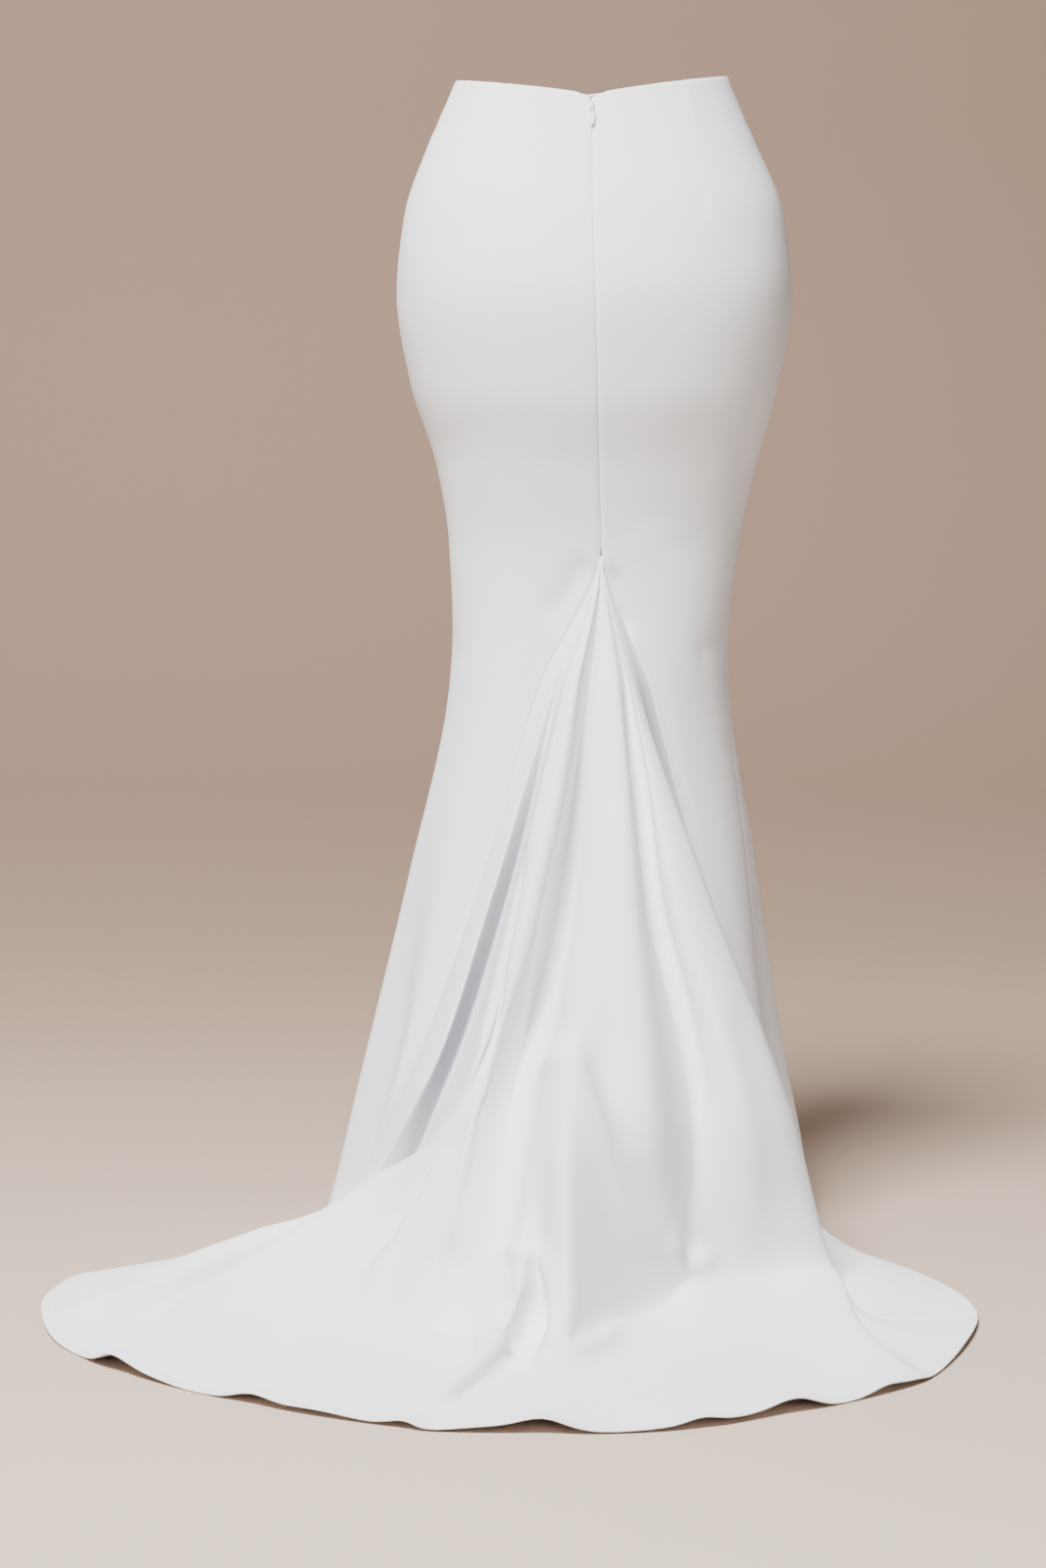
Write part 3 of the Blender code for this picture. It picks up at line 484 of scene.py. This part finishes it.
def fine_column(line, share, in_godet, centre_back, top_x):
    """Points of one column from its upper end to the hem, with the level of each."""
    n = len(LINES)
    a = LINES[line]
    b = LINES[(line + 1) % n]
    ends = []
    for k in (0, 1):
        hi = b[k] + (360 if b[k] < a[k] - 180 else 0)
        ends.append(a[k] + (hi - a[k]) * share)
    points = []
    levels = []
    if in_godet:
        top = ring(APEX_HEIGHT, 0) + np.array((top_x, 0.0, 0.0))
        before = ring(ABOVE_APEX_HEIGHT, 0)
    else:
        if centre_back:
            ends = [0.0, 0.0]
        edge = waist_edge(ends[0])
        top = ring(APEX_HEIGHT, ends[1]) + np.array((top_x, 0.0, 0.0))
        count = int(round((FLOOR_DROP - APEX_HEIGHT) / BODY_STEP))
        for k in range(count):
            part = k / count
            height = edge + (APEX_HEIGHT - edge) * part
            p = ring(height, ends[0] + (ends[1] - ends[0]) * min(1.0, part))
            points.append(p)
            levels.append(part)
        before = ring(ABOVE_APEX_HEIGHT, ends[1])
    low = [before, top] + low_points(line, share)
    chord = [0.0]
    for p, q in zip(low, low[1:]):
        chord.append(chord[-1] + float(np.linalg.norm(q - p)))
    heights = [p[2] for p in low]
    for span, count in enumerate(FINE_SPANS):
        k = span + 1
        after = low[k + 2] if k + 2 < len(low) else low[k + 1] * 2 - low[k]
        for step in range(count + (1 if span == len(FINE_SPANS) - 1 else 0)):
            t = step / count
            p = through(low[k - 1], low[k], low[k + 1], after, t)
            z = smooth(chord, heights, chord[k] + (chord[k + 1] - chord[k]) * t)
            points.append(np.array((p[0], p[1], max(z, 0.0) + THICK / 2)))
            levels.append(1 + span + t)
    return points, levels


def insert_steps(grid, values, axis, end, steps):
    """Split the first or last cell along an axis at fixed distances from the edge."""
    a = np.moveaxis(grid, axis, 0)
    v = np.moveaxis(values, axis, 0)
    if end:
        a = a[::-1]
        v = v[::-1]
    size = np.linalg.norm(a[1] - a[0], axis=1)
    rows = []
    marks = []
    for k, step in enumerate(steps):
        part = np.minimum(step / np.maximum(size, 1e-9), 0.9 * k / len(steps))[:, None]
        rows.append(a[0] + (a[1] - a[0]) * part)
        marks.append(v[0] + (v[1] - v[0]) * part)
    a = np.concatenate((np.array(rows), a[1:]))
    v = np.concatenate((np.array(marks), v[1:]))
    if end:
        a = a[::-1]
        v = v[::-1]
    return np.moveaxis(a, 0, axis), np.moveaxis(v, 0, axis)


def fine_panel(first, last, in_godet=False, centre_back=None):
    """Fine grid of a panel and the (place, level) of each of its points."""
    n = len(LINES)
    per = sizes().columns
    grid = []
    marks = []
    total = (last - first) * per
    for k in range(total + 1):
        line, step = divmod(k, per)
        line = (line + first) % n
        share = step / per
        top_x = 0.0
        at_centre = False
        if in_godet:
            top_x = APEX_HALF * (2.0 * k / total - 1.0)
        elif line == centre_back and step == 0:
            at_centre = True
            top_x = -APEX_HALF if centre_back == LEFT_SEAM else APEX_HALF
        points, levels = fine_column(line, share, in_godet, at_centre, top_x)
        grid.append(points)
        marks.append([(first + k / per, v) for v in levels])
    grid = np.array(grid)
    marks = np.array(marks)
    for axis, end, steps in ((0, False, EDGE_STEPS), (0, True, EDGE_STEPS),
                             (1, True, HEM_STEPS), (1, False, EDGE_STEPS)):
        if not (in_godet and axis == 1 and not end):
            grid, marks = insert_steps(grid, marks, axis, end, steps)
    return grid, marks


def edge_distance(grid, axis, end):
    """Distance of each point from one edge of its grid, along the surface."""
    a = np.moveaxis(grid, axis, 0)
    if end:
        a = a[::-1]
    step = np.linalg.norm(np.diff(a, axis=0), axis=2)
    d = np.concatenate((np.zeros((1, step.shape[1])), np.cumsum(step, axis=0)))
    if end:
        d = d[::-1]
    return np.moveaxis(d, 0, axis)


def segment_distance(points, a, b):
    """Distance of points from a segment, and how far along it the nearest place is."""
    ab = b - a
    t = np.clip(((points - a) @ ab) / max(float(ab @ ab), 1e-12), 0.0, 1.0)
    return np.linalg.norm(points - (a + t[..., None] * ab), axis=-1), t


def surface_point(grid, marks, place, level):
    """Point of a grid nearest to a place and level."""
    d = (marks[..., 0] - place) ** 2 * 4 + (marks[..., 1] - level) ** 2
    return grid[np.unravel_index(np.argmin(d), d.shape)]


def bell(distance, width):
    """Soft fade from one at no distance to nothing well past the width."""
    return np.exp(-(distance / width) ** 2)


def relief(grid, marks, in_godet, dart):
    """Outward move of each point: seams, hem band, facing mark, dart and creases."""
    s = sizes()
    out = np.zeros(grid.shape[:2])
    near = np.minimum(edge_distance(grid, 0, False), edge_distance(grid, 0, True))
    out -= s.seam_depth * bell(near, SEAM_WIDTH)
    hem = edge_distance(grid, 1, True)
    out += s.hem_rise * np.clip((s.hem_band - hem) / HEM_STEP_WIDTH + 0.5, 0.0, 1.0)
    out -= s.hem_rise * bell(hem - s.hem_band, HEM_LINE_WIDTH)
    if not in_godet:
        waist = edge_distance(grid, 1, False)
        out -= s.facing_mark * bell(waist - FACING_DEPTH, FACING_MARK_WIDTH)
        out -= WAIST_ROLL * bell(waist, WAIST_ROLL_WIDTH)
    if dart is not None:
        place, length = dart
        top = surface_point(grid, marks, place, 0.0)
        point = surface_point(grid, marks, place, length)
        d = segment_distance(grid, top, point)[0]
        out -= DART_DEPTH * bell(d, DART_WIDTH)
        out += DART_SWELL * bell(d, DART_SWELL_WIDTH)
        out -= DART_POINT_DEPTH * bell(np.linalg.norm(grid - point, axis=-1), DART_POINT_WIDTH)
    low, high = marks[..., 0].min(), marks[..., 0].max()
    for row in HEM_LIFTS:
        v = dict(zip(HEM_LIFT_COLUMNS, row))
        if low <= v["place"] <= high:
            middle = surface_point(grid, marks, v["place"], HEM_LEVEL)
            out += v["rise"] * bell(np.linalg.norm(grid - middle, axis=-1), v["width"])
    for row in CREASES:
        c = dict(zip(CREASE_COLUMNS, row))
        middle = c["path"][len(c["path"]) // 2][0]
        if low <= middle <= high:
            out += crease(grid, marks, c)
    return out


def crease(grid, marks, c):
    """Move of each point for one trough or ridge, fading at both ends."""
    path = [surface_point(grid, marks, place, level) for place, level in c["path"]]
    ends = [path[0] * 2 - path[1]] + path + [path[-1] * 2 - path[-2]]
    line = []
    for k in range(1, len(path)):
        for step in range(CREASE_STEPS):
            line.append(through(*ends[k - 1:k + 3], step / CREASE_STEPS))
    line.append(path[-1])
    best = np.full(grid.shape[:2], 1e9)
    where = np.zeros(grid.shape[:2])
    pieces = len(line) - 1
    for k, (a, b) in enumerate(zip(line, line[1:])):
        d, t = segment_distance(grid, a, b)
        where = np.where(d < best, (k + t) / pieces, where)
        best = np.minimum(best, d)
    fade = np.clip(np.minimum(where, 1.0 - where) / CREASE_FADE, 0.0, 1.0)
    return c["rise"] * bell(best, c["width"]) * (fade * fade * (3 - 2 * fade))


def shell(name, outer, inner, material):
    """Closed thin shell between two grids of points."""
    columns, rows = outer.shape[:2]
    bm = bmesh.new()
    bm.verts.layers.int.new("across")
    bm.verts.layers.int.new("down")
    across = bm.verts.layers.int["across"]
    down = bm.verts.layers.int["down"]
    bmesh.ops.create_grid(bm, x_segments=columns - 1, y_segments=rows - 1, size=1.0)
    for v in bm.verts:
        v[across] = int(round((v.co.x + 1) / 2 * (columns - 1)))
        v[down] = int(round((v.co.y + 1) / 2 * (rows - 1)))
    copy = bmesh.ops.extrude_face_region(bm, geom=bm.faces[:])
    lifted = {g for g in copy["geom"] if isinstance(g, bmesh.types.BMVert)}
    for v in bm.verts:
        grid = outer if v in lifted else inner
        v.co = Vector(grid[v[across], v[down]]) - Vector((0, 0, FLOOR_DROP))
    bmesh.ops.recalc_face_normals(bm, faces=bm.faces[:])
    for f in bm.faces:
        f.smooth = True
    bm.verts.layers.int.remove(down)
    bm.verts.layers.int.remove(bm.verts.layers.int["across"])
    return finished(bm, name, material)


def finished(bm, name, material):
    """Object made from a bmesh, at the origin."""
    mesh = bpy.data.meshes.new(name)
    bm.to_mesh(mesh)
    bm.free()
    obj = bpy.data.objects.new(name, mesh)
    bpy.context.scene.collection.objects.link(obj)
    obj.data.materials.append(material)
    return obj


GRAIN_SCALE = (900.0, 900.0, 160.0)
GRAIN_ROUGHNESS = 0.08
GRAIN_HEIGHT = 0.0002
# Between these two distances along Y the paper's colour fades from painted light in front to
# painted shade behind.
PAPER_NEAR_Y = -1.6
PAPER_FAR_Y = 1.8


def weave_group():
    """Shared effect: the fine grain of a satin face."""
    name = "SatinGrain"
    if name in bpy.data.node_groups:
        return bpy.data.node_groups[name]
    group = bpy.data.node_groups.new(name, "ShaderNodeTree")
    group.interface.new_socket("Rough", in_out="INPUT", socket_type="NodeSocketFloat")
    group.interface.new_socket("Roughness", in_out="OUTPUT", socket_type="NodeSocketFloat")
    group.interface.new_socket("Height", in_out="OUTPUT", socket_type="NodeSocketFloat")
    nodes = group.nodes
    links = group.links
    start = nodes.new("NodeGroupInput")
    end = nodes.new("NodeGroupOutput")
    coord = nodes.new("ShaderNodeTexCoord")
    stretch = nodes.new("ShaderNodeMapping")
    stretch.inputs["Scale"].default_value = GRAIN_SCALE
    grain = nodes.new("ShaderNodeTexNoise")
    grain.inputs["Scale"].default_value = 1.0
    grain.inputs["Detail"].default_value = 2.0
    links.new(coord.outputs["Object"], stretch.inputs["Vector"])
    links.new(stretch.outputs["Vector"], grain.inputs["Vector"])
    soft = nodes.new("ShaderNodeMath")
    soft.operation = "MULTIPLY_ADD"
    soft.inputs[1].default_value = GRAIN_ROUGHNESS
    links.new(grain.outputs["Fac"], soft.inputs[0])
    links.new(start.outputs["Rough"], soft.inputs[2])
    links.new(soft.outputs["Value"], end.inputs["Roughness"])
    links.new(grain.outputs["Fac"], end.inputs["Height"])
    return group


def satin(name="satin", shade=1.0, rough=0.37):
    """Satin: a bright smooth face with a soft sheen."""
    if name in bpy.data.materials:
        return bpy.data.materials[name]
    material = bpy.data.materials.new(name)
    material.use_nodes = True
    nodes = material.node_tree.nodes
    links = material.node_tree.links
    shader = nodes["Principled BSDF"]
    colour = [c * shade for c in colours().satin]
    shader.inputs["Base Color"].default_value = (*colour, 1.0)
    shader.inputs["Specular IOR Level"].default_value = 0.8
    shader.inputs["IOR"].default_value = 1.8
    shader.inputs["Metallic"].default_value = 0.35
    shader.inputs["Sheen Weight"].default_value = 0.15
    shader.inputs["Sheen Roughness"].default_value = 0.4
    grain = nodes.new("ShaderNodeGroup")
    grain.node_tree = weave_group()
    grain.inputs["Rough"].default_value = rough
    bump = nodes.new("ShaderNodeBump")
    bump.inputs["Strength"].default_value = 0.06
    bump.inputs["Distance"].default_value = GRAIN_HEIGHT
    links.new(grain.outputs["Roughness"], shader.inputs["Roughness"])
    links.new(grain.outputs["Height"], bump.inputs["Height"])
    links.new(bump.outputs["Normal"], shader.inputs["Normal"])
    return material


def plain(name, colour, rough):
    """Plain material of one colour."""
    material = bpy.data.materials.new(name)
    material.use_nodes = True
    shader = material.node_tree.nodes["Principled BSDF"]
    shader.inputs["Base Color"].default_value = (*colour, 1.0)
    shader.inputs["Roughness"].default_value = rough
    return material


def backdrop_paper():
    """Paper painted pale in front and turning to the backdrop's darker colour behind: painted
    light in front and painted shade behind, in place of light falling off with distance.
    """
    material = plain("backdrop_paper", colours().backdrop, 0.85)
    nodes = material.node_tree.nodes
    links = material.node_tree.links
    coord = nodes.new("ShaderNodeTexCoord")
    split = nodes.new("ShaderNodeSeparateXYZ")
    reach = nodes.new("ShaderNodeMapRange")
    reach.interpolation_type = "SMOOTHSTEP"
    reach.inputs["From Min"].default_value = PAPER_NEAR_Y
    reach.inputs["From Max"].default_value = PAPER_FAR_Y
    # Painted falloff of light: the front's painted light mixes into the painted shade behind
    # along Y.
    mix = nodes.new("ShaderNodeMix")
    mix.data_type = "RGBA"
    mix.inputs[6].default_value = (*colours().floor, 1.0)
    mix.inputs[7].default_value = (*colours().backdrop, 1.0)
    links.new(coord.outputs["Object"], split.inputs["Vector"])
    links.new(split.outputs["Y"], reach.inputs["Value"])
    links.new(reach.outputs["Result"], mix.inputs[0])
    links.new(mix.outputs[2], nodes["Principled BSDF"].inputs["Base Color"])
    return material


# Each panel: its first and last fold line, whether it is the godet, the fold line at its
# centre-back edge, its dart as (place, level of its end), and the size of its flat cut.
PANEL_COLUMNS = ("name", "first", "last", "godet", "centre", "dart", "wide", "long", "area")
PANEL_ROWS = (
    ("back_left", 0, LEFT_SEAM, False, LEFT_SEAM, (4.0, 0.27), 0.32, 1.10, 0.205),
    ("godet", LEFT_SEAM, RIGHT_SEAM, True, None, None, 1.20, 1.10, 0.56),
    ("back_right", RIGHT_SEAM, RIGHT_SIDE, False, RIGHT_SEAM, (27.0, 0.27), 0.32, 1.10, 0.190),
    ("front", RIGHT_SIDE, len(LINES), False, None, None, 0.66, 1.08, 0.52),
)
PANELS = {row[0]: dict(zip(PANEL_COLUMNS, row)) for row in PANEL_ROWS}
PANEL_CACHE = {}


def panel_grids():
    """Grid, marks and outward directions of each of the four panels, worked out once."""
    out = PANEL_CACHE
    if out:
        return out
    for name, panel in PANELS.items():
        grid, marks = fine_panel(panel["first"], panel["last"], panel["godet"], panel["centre"])
        out[name] = (grid, marks, grid_normals(grid))
    total = {}
    for grid, marks, normal in out.values():
        for i, j in rim_points(grid):
            key = rim_key(grid[i, j])
            total[key] = total.get(key, 0.0) + normal[i, j]
    for name, (grid, marks, normal) in out.items():
        for i, j in rim_points(grid):
            v = total[rim_key(grid[i, j])]
            normal[i, j] = v / max(np.linalg.norm(v), 1e-9)
        lift = relief(grid, marks, PANELS[name]["godet"], PANELS[name]["dart"])
        grid += normal * lift[..., None]
        grid[..., 2] = np.maximum(grid[..., 2], THICK / 2)
        normal[1:-1] = grid_normals(grid)[1:-1]
    return out


def rim_key(point):
    """The same key for the points of two panels that meet at a seam."""
    return tuple(np.round(point, 5))


def rim_points(grid):
    """Indices of the points on the two side edges of a grid."""
    columns, rows = grid.shape[:2]
    return [(i, j) for i in (0, columns - 1) for j in range(rows)]


def gap_edges(grid, gap, end):
    """Draw a side edge of a grid back from its seam by half the gap."""
    edge, inner = (-1, -2) if end else (0, 1)
    v = grid[inner] - grid[edge]
    size = np.maximum(np.linalg.norm(v, axis=1), 1e-9)
    grid[edge] = grid[edge] + v * np.minimum(gap / size, 0.4)[:, None]


class SKIRT_OT_panels(bpy.types.Operator):
    """Build the four satin panels with their seams, darts, hem bands and folds"""

    bl_idname = "skirt.panels"
    bl_label = "Satin panels"

    def execute(self, context):
        s = sizes()
        material = satin()
        for name, (grid, marks, normal) in panel_grids().items():
            panel = PANELS[name]
            grid = grid.copy()
            for end in (False, True):
                gap = np.full(grid.shape[1], SEAM_GAP / 2)
                if panel["centre"] is not None and end == (name == "back_left"):
                    gap = np.where(grid[-1 if end else 0, :, 2] > ZIP_END_HEIGHT,
                                   ZIP_OPEN / 2, gap)
                gap_edges(grid, gap, end)
            half = normal * (s.cloth_thickness / 2)
            piece = shell(name + "_satin", grid + half, grid - half, material)
            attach(piece, "skirt")
            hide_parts(name)
        return {"FINISHED"}


THREAD_HALF_WIDTH = 0.00028
THREAD_HALF_HEIGHT = 0.00025
STITCH_SHARE = 0.72
STITCH_LOOK = 0.0004


def at_run(run, line, place):
    """Point, or direction, at a distance along a line of points."""
    return np.array([np.interp(place, run, line[:, k]) for k in range(3)])


def runs(line):
    """Distance along a line of points to each of them."""
    step = np.linalg.norm(np.diff(line, axis=0), axis=1)
    return np.concatenate(([0.0], np.cumsum(step)))


class SKIRT_OT_hem_stitches(bpy.types.Operator):
    """Build the hem's line of stitches on every panel"""

    bl_idname = "skirt.hem_stitches"
    bl_label = "Hem stitches"

    def execute(self, context):
        s = sizes()
        material = satin("thread", 0.92, 0.55)
        for name, (grid, marks, normal) in panel_grids().items():
            hem = edge_distance(grid, 1, True)
            row = int(np.argmin(np.abs(hem[len(hem) // 2] - s.hem_band)))
            line = grid[:, row] + normal[:, row] * (s.cloth_thickness / 2)
            run = runs(line)
            bm = bmesh.new()
            place = s.stitch_pitch / 2
            while place < run[-1]:
                p = at_run(run, line, place)
                along = at_run(run, line, place + STITCH_LOOK) - p
                out = at_run(run, normal[:, row], place)
                stitch(bm, p, along, out, s.stitch_pitch * STITCH_SHARE)
                place += s.stitch_pitch
            piece = finished(bm, name + "_hem_stitch", material)
            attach(piece, "skirt")
        return {"FINISHED"}


def stitch(bm, place, run, out, length):
    """One short thread lying along a direction, half sunk in the cloth."""
    x = Vector(run).normalized()
    z = Vector(out).normalized()
    y = z.cross(x).normalized()
    turn = Matrix((x, y, z)).transposed().to_4x4()
    size = Matrix.Diagonal((length / 2, THREAD_HALF_WIDTH, THREAD_HALF_HEIGHT, 1.0))
    spot = Matrix.Translation(Vector(place) - Vector((0, 0, FLOOR_DROP)))
    bmesh.ops.create_icosphere(bm, subdivisions=1, radius=1.0, matrix=spot @ turn @ size)


FACING_PANELS = ("back_right", "front", "back_left")
FACING_SLACK = 0.0005
FACING_INSET = 5


class SKIRT_OT_facing(bpy.types.Operator):
    """Build the waist facing inside the top edge"""

    bl_idname = "skirt.facing"
    bl_label = "Waist facing"

    def execute(self, context):
        grids = []
        normals = []
        for k, name in enumerate(FACING_PANELS):
            grid, marks, normal = panel_grids()[name]
            deep = edge_distance(grid, 1, False)[len(grid) // 2]
            keep = deep < FACING_DEPTH + FACING_SLACK
            start = min(k, 1)
            grids.append(grid[start:, keep])
            normals.append(normal[start:, keep])
        grid = np.concatenate(grids)[FACING_INSET:-FACING_INSET, 1:]
        normal = np.concatenate(normals)[FACING_INSET:-FACING_INSET, 1:]
        outer = grid - normal * (THICK / 2 + LAY_GAP)
        inner = outer - normal * FACING_THICK
        piece = shell("waist_facing_satin", outer, inner, satin("satin_inside", 0.97, 0.5))
        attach(piece, "skirt")
        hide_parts("waist_facing")
        return {"FINISHED"}


# The tape: rows down it, places across it, and how far it stops short at both ends.
TAPE_ROWS = 90
TAPE_ACROSS = (-TAPE_HALF_WIDTH, -0.008, -0.004, -0.0012, 0.0, 0.0012, 0.004, 0.008,
               TAPE_HALF_WIDTH)
TAPE_MIDDLE = len(TAPE_ACROSS) // 2
TAPE_TOP_DROP = 0.003
TAPE_FOOT_DROP = 0.002
COIL_HALF_SIZE = (0.0014, 0.0006, 0.00035)
COIL_SIDE = 0.0009
COIL_LIFT = 0.0006
METAL_EDGE = 0.00012


class SKIRT_OT_zip(bpy.types.Operator):
    """Build the zip tape and coils, and finish the slider and its pull"""

    bl_idname = "skirt.zip"
    bl_label = "Concealed zip"

    def execute(self, context):
        s = sizes()
        high = waist_edge(0) - TAPE_TOP_DROP
        drop = ZIP_END_HEIGHT - TAPE_FOOT_DROP - high
        grid = []
        for x in TAPE_ACROSS:
            column = []
            for k in range(TAPE_ROWS):
                height = high + drop * k / (TAPE_ROWS - 1)
                side = math.degrees(math.asin(min(1.0, abs(x) / section(height, "right"))))
                p = ring(height, math.copysign(side, x))
                column.append(np.array((ring(height, 0)[0] + x, p[1], height)))
            grid.append(column)
        grid = np.array(grid)
        normal = grid_normals(grid)
        if normal[TAPE_MIDDLE, TAPE_ROWS // 2, 1] > 0:
            normal = -normal
        outer = grid - normal * (THICK / 2 + LAY_GAP)
        inner = outer - normal * TAPE_THICK
        white = plain("zip_tape_white", (0.80, 0.80, 0.80), 0.7)
        tape = shell("zip_tape_woven", outer, inner, white)
        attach(tape, "skirt")
        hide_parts("zip_tape")
        coil = self.coils(grid, normal, s.coil_pitch)
        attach(coil, "skirt")
        metal = plain("zip_metal_white", colours().zip_metal, 0.32)
        for name in ("zip_slider", "zip_pull"):
            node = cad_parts[name]
            for slot in node.material_slots:
                slot.material = metal
            bevel = node.modifiers.new("soft_edges", "BEVEL")
            bevel.width = METAL_EDGE
            bevel.segments = 2
            bevel.limit_method = "ANGLE"
        return {"FINISHED"}

    def coils(self, grid, normal, pitch):
        """Two rows of coil turns on the inner face of the tape."""
        bm = bmesh.new()
        deep = THICK / 2 + LAY_GAP + TAPE_THICK + COIL_LIFT
        middle = grid[TAPE_MIDDLE] - normal[TAPE_MIDDLE] * deep
        run = runs(middle)
        place = pitch
        side = 1
        while place < run[-1]:
            p = at_run(run, middle, place)
            p[0] += side * COIL_SIDE
            spot = Matrix.Translation(Vector(p) - Vector((0, 0, FLOOR_DROP)))
            size = Matrix.Diagonal((*COIL_HALF_SIZE, 1.0))
            bmesh.ops.create_icosphere(bm, subdivisions=2, radius=1.0, matrix=spot @ size)
            place += pitch / 2
            side = -side
        for f in bm.faces:
            f.smooth = True
        return finished(bm, "zip_coils", plain("zip_coil_white", (0.82, 0.82, 0.82), 0.4))


# The stage: floor and backdrop in one sheet, lights, and the camera of the photo.
FLOOR_REACH = 7.0
FLOOR_CLEARANCE = 0.0002
BACKDROP_Y = 4.6
BACKDROP_CURVE = 1.4
BACKDROP_RISE = 3.0
BACKDROP_HALF_WIDTH = 5.0
BACKDROP_CELLS = (8, 48)
WORLD_COLOUR = (1.0, 0.98, 0.96, 1.0)
WORLD_STRENGTH = 0.10
CAMERA_PLACE = (-0.062, -3.65, 0.90 - FLOOR_DROP)
CAMERA_TIP = 7.43
CAMERA_LENS = 90.0
CAMERA_FRAME = 36.0
LIGHT_COLUMNS = ("name", "x", "y", "z", "aim_x", "aim_y", "aim_z", "width", "watts", "warmth")
LIGHTS = (
    ("key", -1.1, -2.2, 3.3, 0.0, -0.1, -0.3, 1.6, 720.0, 1.0),
    ("fill", 1.6, -3.6, 0.5, 0.0, 0.0, -0.5, 2.0, 10.0, 1.0),
    ("backdrop_wash", -1.2, 2.6, 2.8, 0.0, 4.6, 0.3, 2.0, 120.0, 0.95),
)


class SKIRT_OT_stage(bpy.types.Operator):
    """Set the floor, the backdrop, the lights and the camera"""

    bl_idname = "skirt.stage"
    bl_label = "Stage"

    def execute(self, context):
        bm = bmesh.new()
        across, along = BACKDROP_CELLS
        bmesh.ops.create_grid(bm, x_segments=across, y_segments=along, size=1.0)
        flat = BACKDROP_Y + FLOOR_REACH - BACKDROP_CURVE
        bend = BACKDROP_CURVE * math.pi / 2
        for v in bm.verts:
            d = (v.co.y + 1) / 2 * (flat + bend + BACKDROP_RISE)
            if d < flat:
                y, z = d - FLOOR_REACH, 0.0
            elif d < flat + bend:
                a = (d - flat) / BACKDROP_CURVE
                y = flat - FLOOR_REACH + BACKDROP_CURVE * math.sin(a)
                z = BACKDROP_CURVE * (1 - math.cos(a))
            else:
                y, z = BACKDROP_Y, BACKDROP_CURVE + d - flat - bend
            z -= FLOOR_DROP + FLOOR_CLEARANCE
            v.co = Vector((v.co.x * BACKDROP_HALF_WIDTH, y, z))
        for f in bm.faces:
            f.smooth = True
        stage = finished(bm, "backdrop", backdrop_paper())
        for row in LIGHTS:
            v = dict(zip(LIGHT_COLUMNS, row))
            lamp = bpy.data.lights.new(v["name"], "AREA")
            lamp.size = v["width"]
            lamp.energy = v["watts"]
            lamp.color = (1.0, v["warmth"], v["warmth"] ** 2)
            holder = bpy.data.objects.new(v["name"], lamp)
            context.scene.collection.objects.link(holder)
            holder.location = (v["x"], v["y"], v["z"])
            aim = Vector((v["aim_x"], v["aim_y"], v["aim_z"])) - holder.location
            holder.rotation_euler = aim.to_track_quat("-Z", "Y").to_euler()
        world = bpy.data.worlds.new("studio")
        world.use_nodes = True
        sky = world.node_tree.nodes["Background"]
        sky.inputs["Color"].default_value = WORLD_COLOUR
        sky.inputs["Strength"].default_value = WORLD_STRENGTH
        context.scene.world = world
        lens = bpy.data.cameras.new("camera")
        lens.sensor_fit = "VERTICAL"
        lens.sensor_height = CAMERA_FRAME
        lens.lens = CAMERA_LENS
        camera = bpy.data.objects.new("camera", lens)
        context.scene.collection.objects.link(camera)
        camera.location = CAMERA_PLACE
        camera.rotation_euler = (math.radians(90 - CAMERA_TIP), 0.0, 0.0)
        context.scene.camera = camera
        return {"FINISHED"}


class SKIRT_PT_panel(bpy.types.Panel):
    """Sidebar panel with the skirt's sizes, colours and steps"""

    bl_idname = "SKIRT_PT_panel"
    bl_label = "Mermaid Skirt"
    bl_space_type = "VIEW_3D"
    bl_region_type = "UI"
    bl_category = "Skirt"

    def draw(self, context):
        layout = self.layout
        for group in (context.scene.skirt_sizes, context.scene.skirt_colours):
            box = layout.box()
            for name in group.__annotations__:
                box.prop(group, name)
        for step in STEPS:
            layout.operator(step.bl_idname)


STEPS = (SKIRT_OT_panels, SKIRT_OT_hem_stitches, SKIRT_OT_facing, SKIRT_OT_zip,
         SKIRT_OT_stage)
CLASSES = (SkirtSizes, SkirtColours) + STEPS + (SKIRT_PT_panel,)


def register():
    """Register the classes and their properties."""
    for cls in CLASSES:
        bpy.utils.register_class(cls)
    bpy.types.Scene.skirt_sizes = bpy.props.PointerProperty(type=SkirtSizes)
    bpy.types.Scene.skirt_colours = bpy.props.PointerProperty(type=SkirtColours)


def unregister():
    """Remove the properties and classes."""
    del bpy.types.Scene.skirt_colours
    del bpy.types.Scene.skirt_sizes
    for cls in reversed(CLASSES):
        bpy.utils.unregister_class(cls)


def main():
    """Build every piece in order."""
    register()
    bpy.ops.skirt.panels()
    bpy.ops.skirt.hem_stitches()
    bpy.ops.skirt.facing()
    bpy.ops.skirt.zip()
    bpy.ops.skirt.stage()


if __name__ == "__main__":
    main()
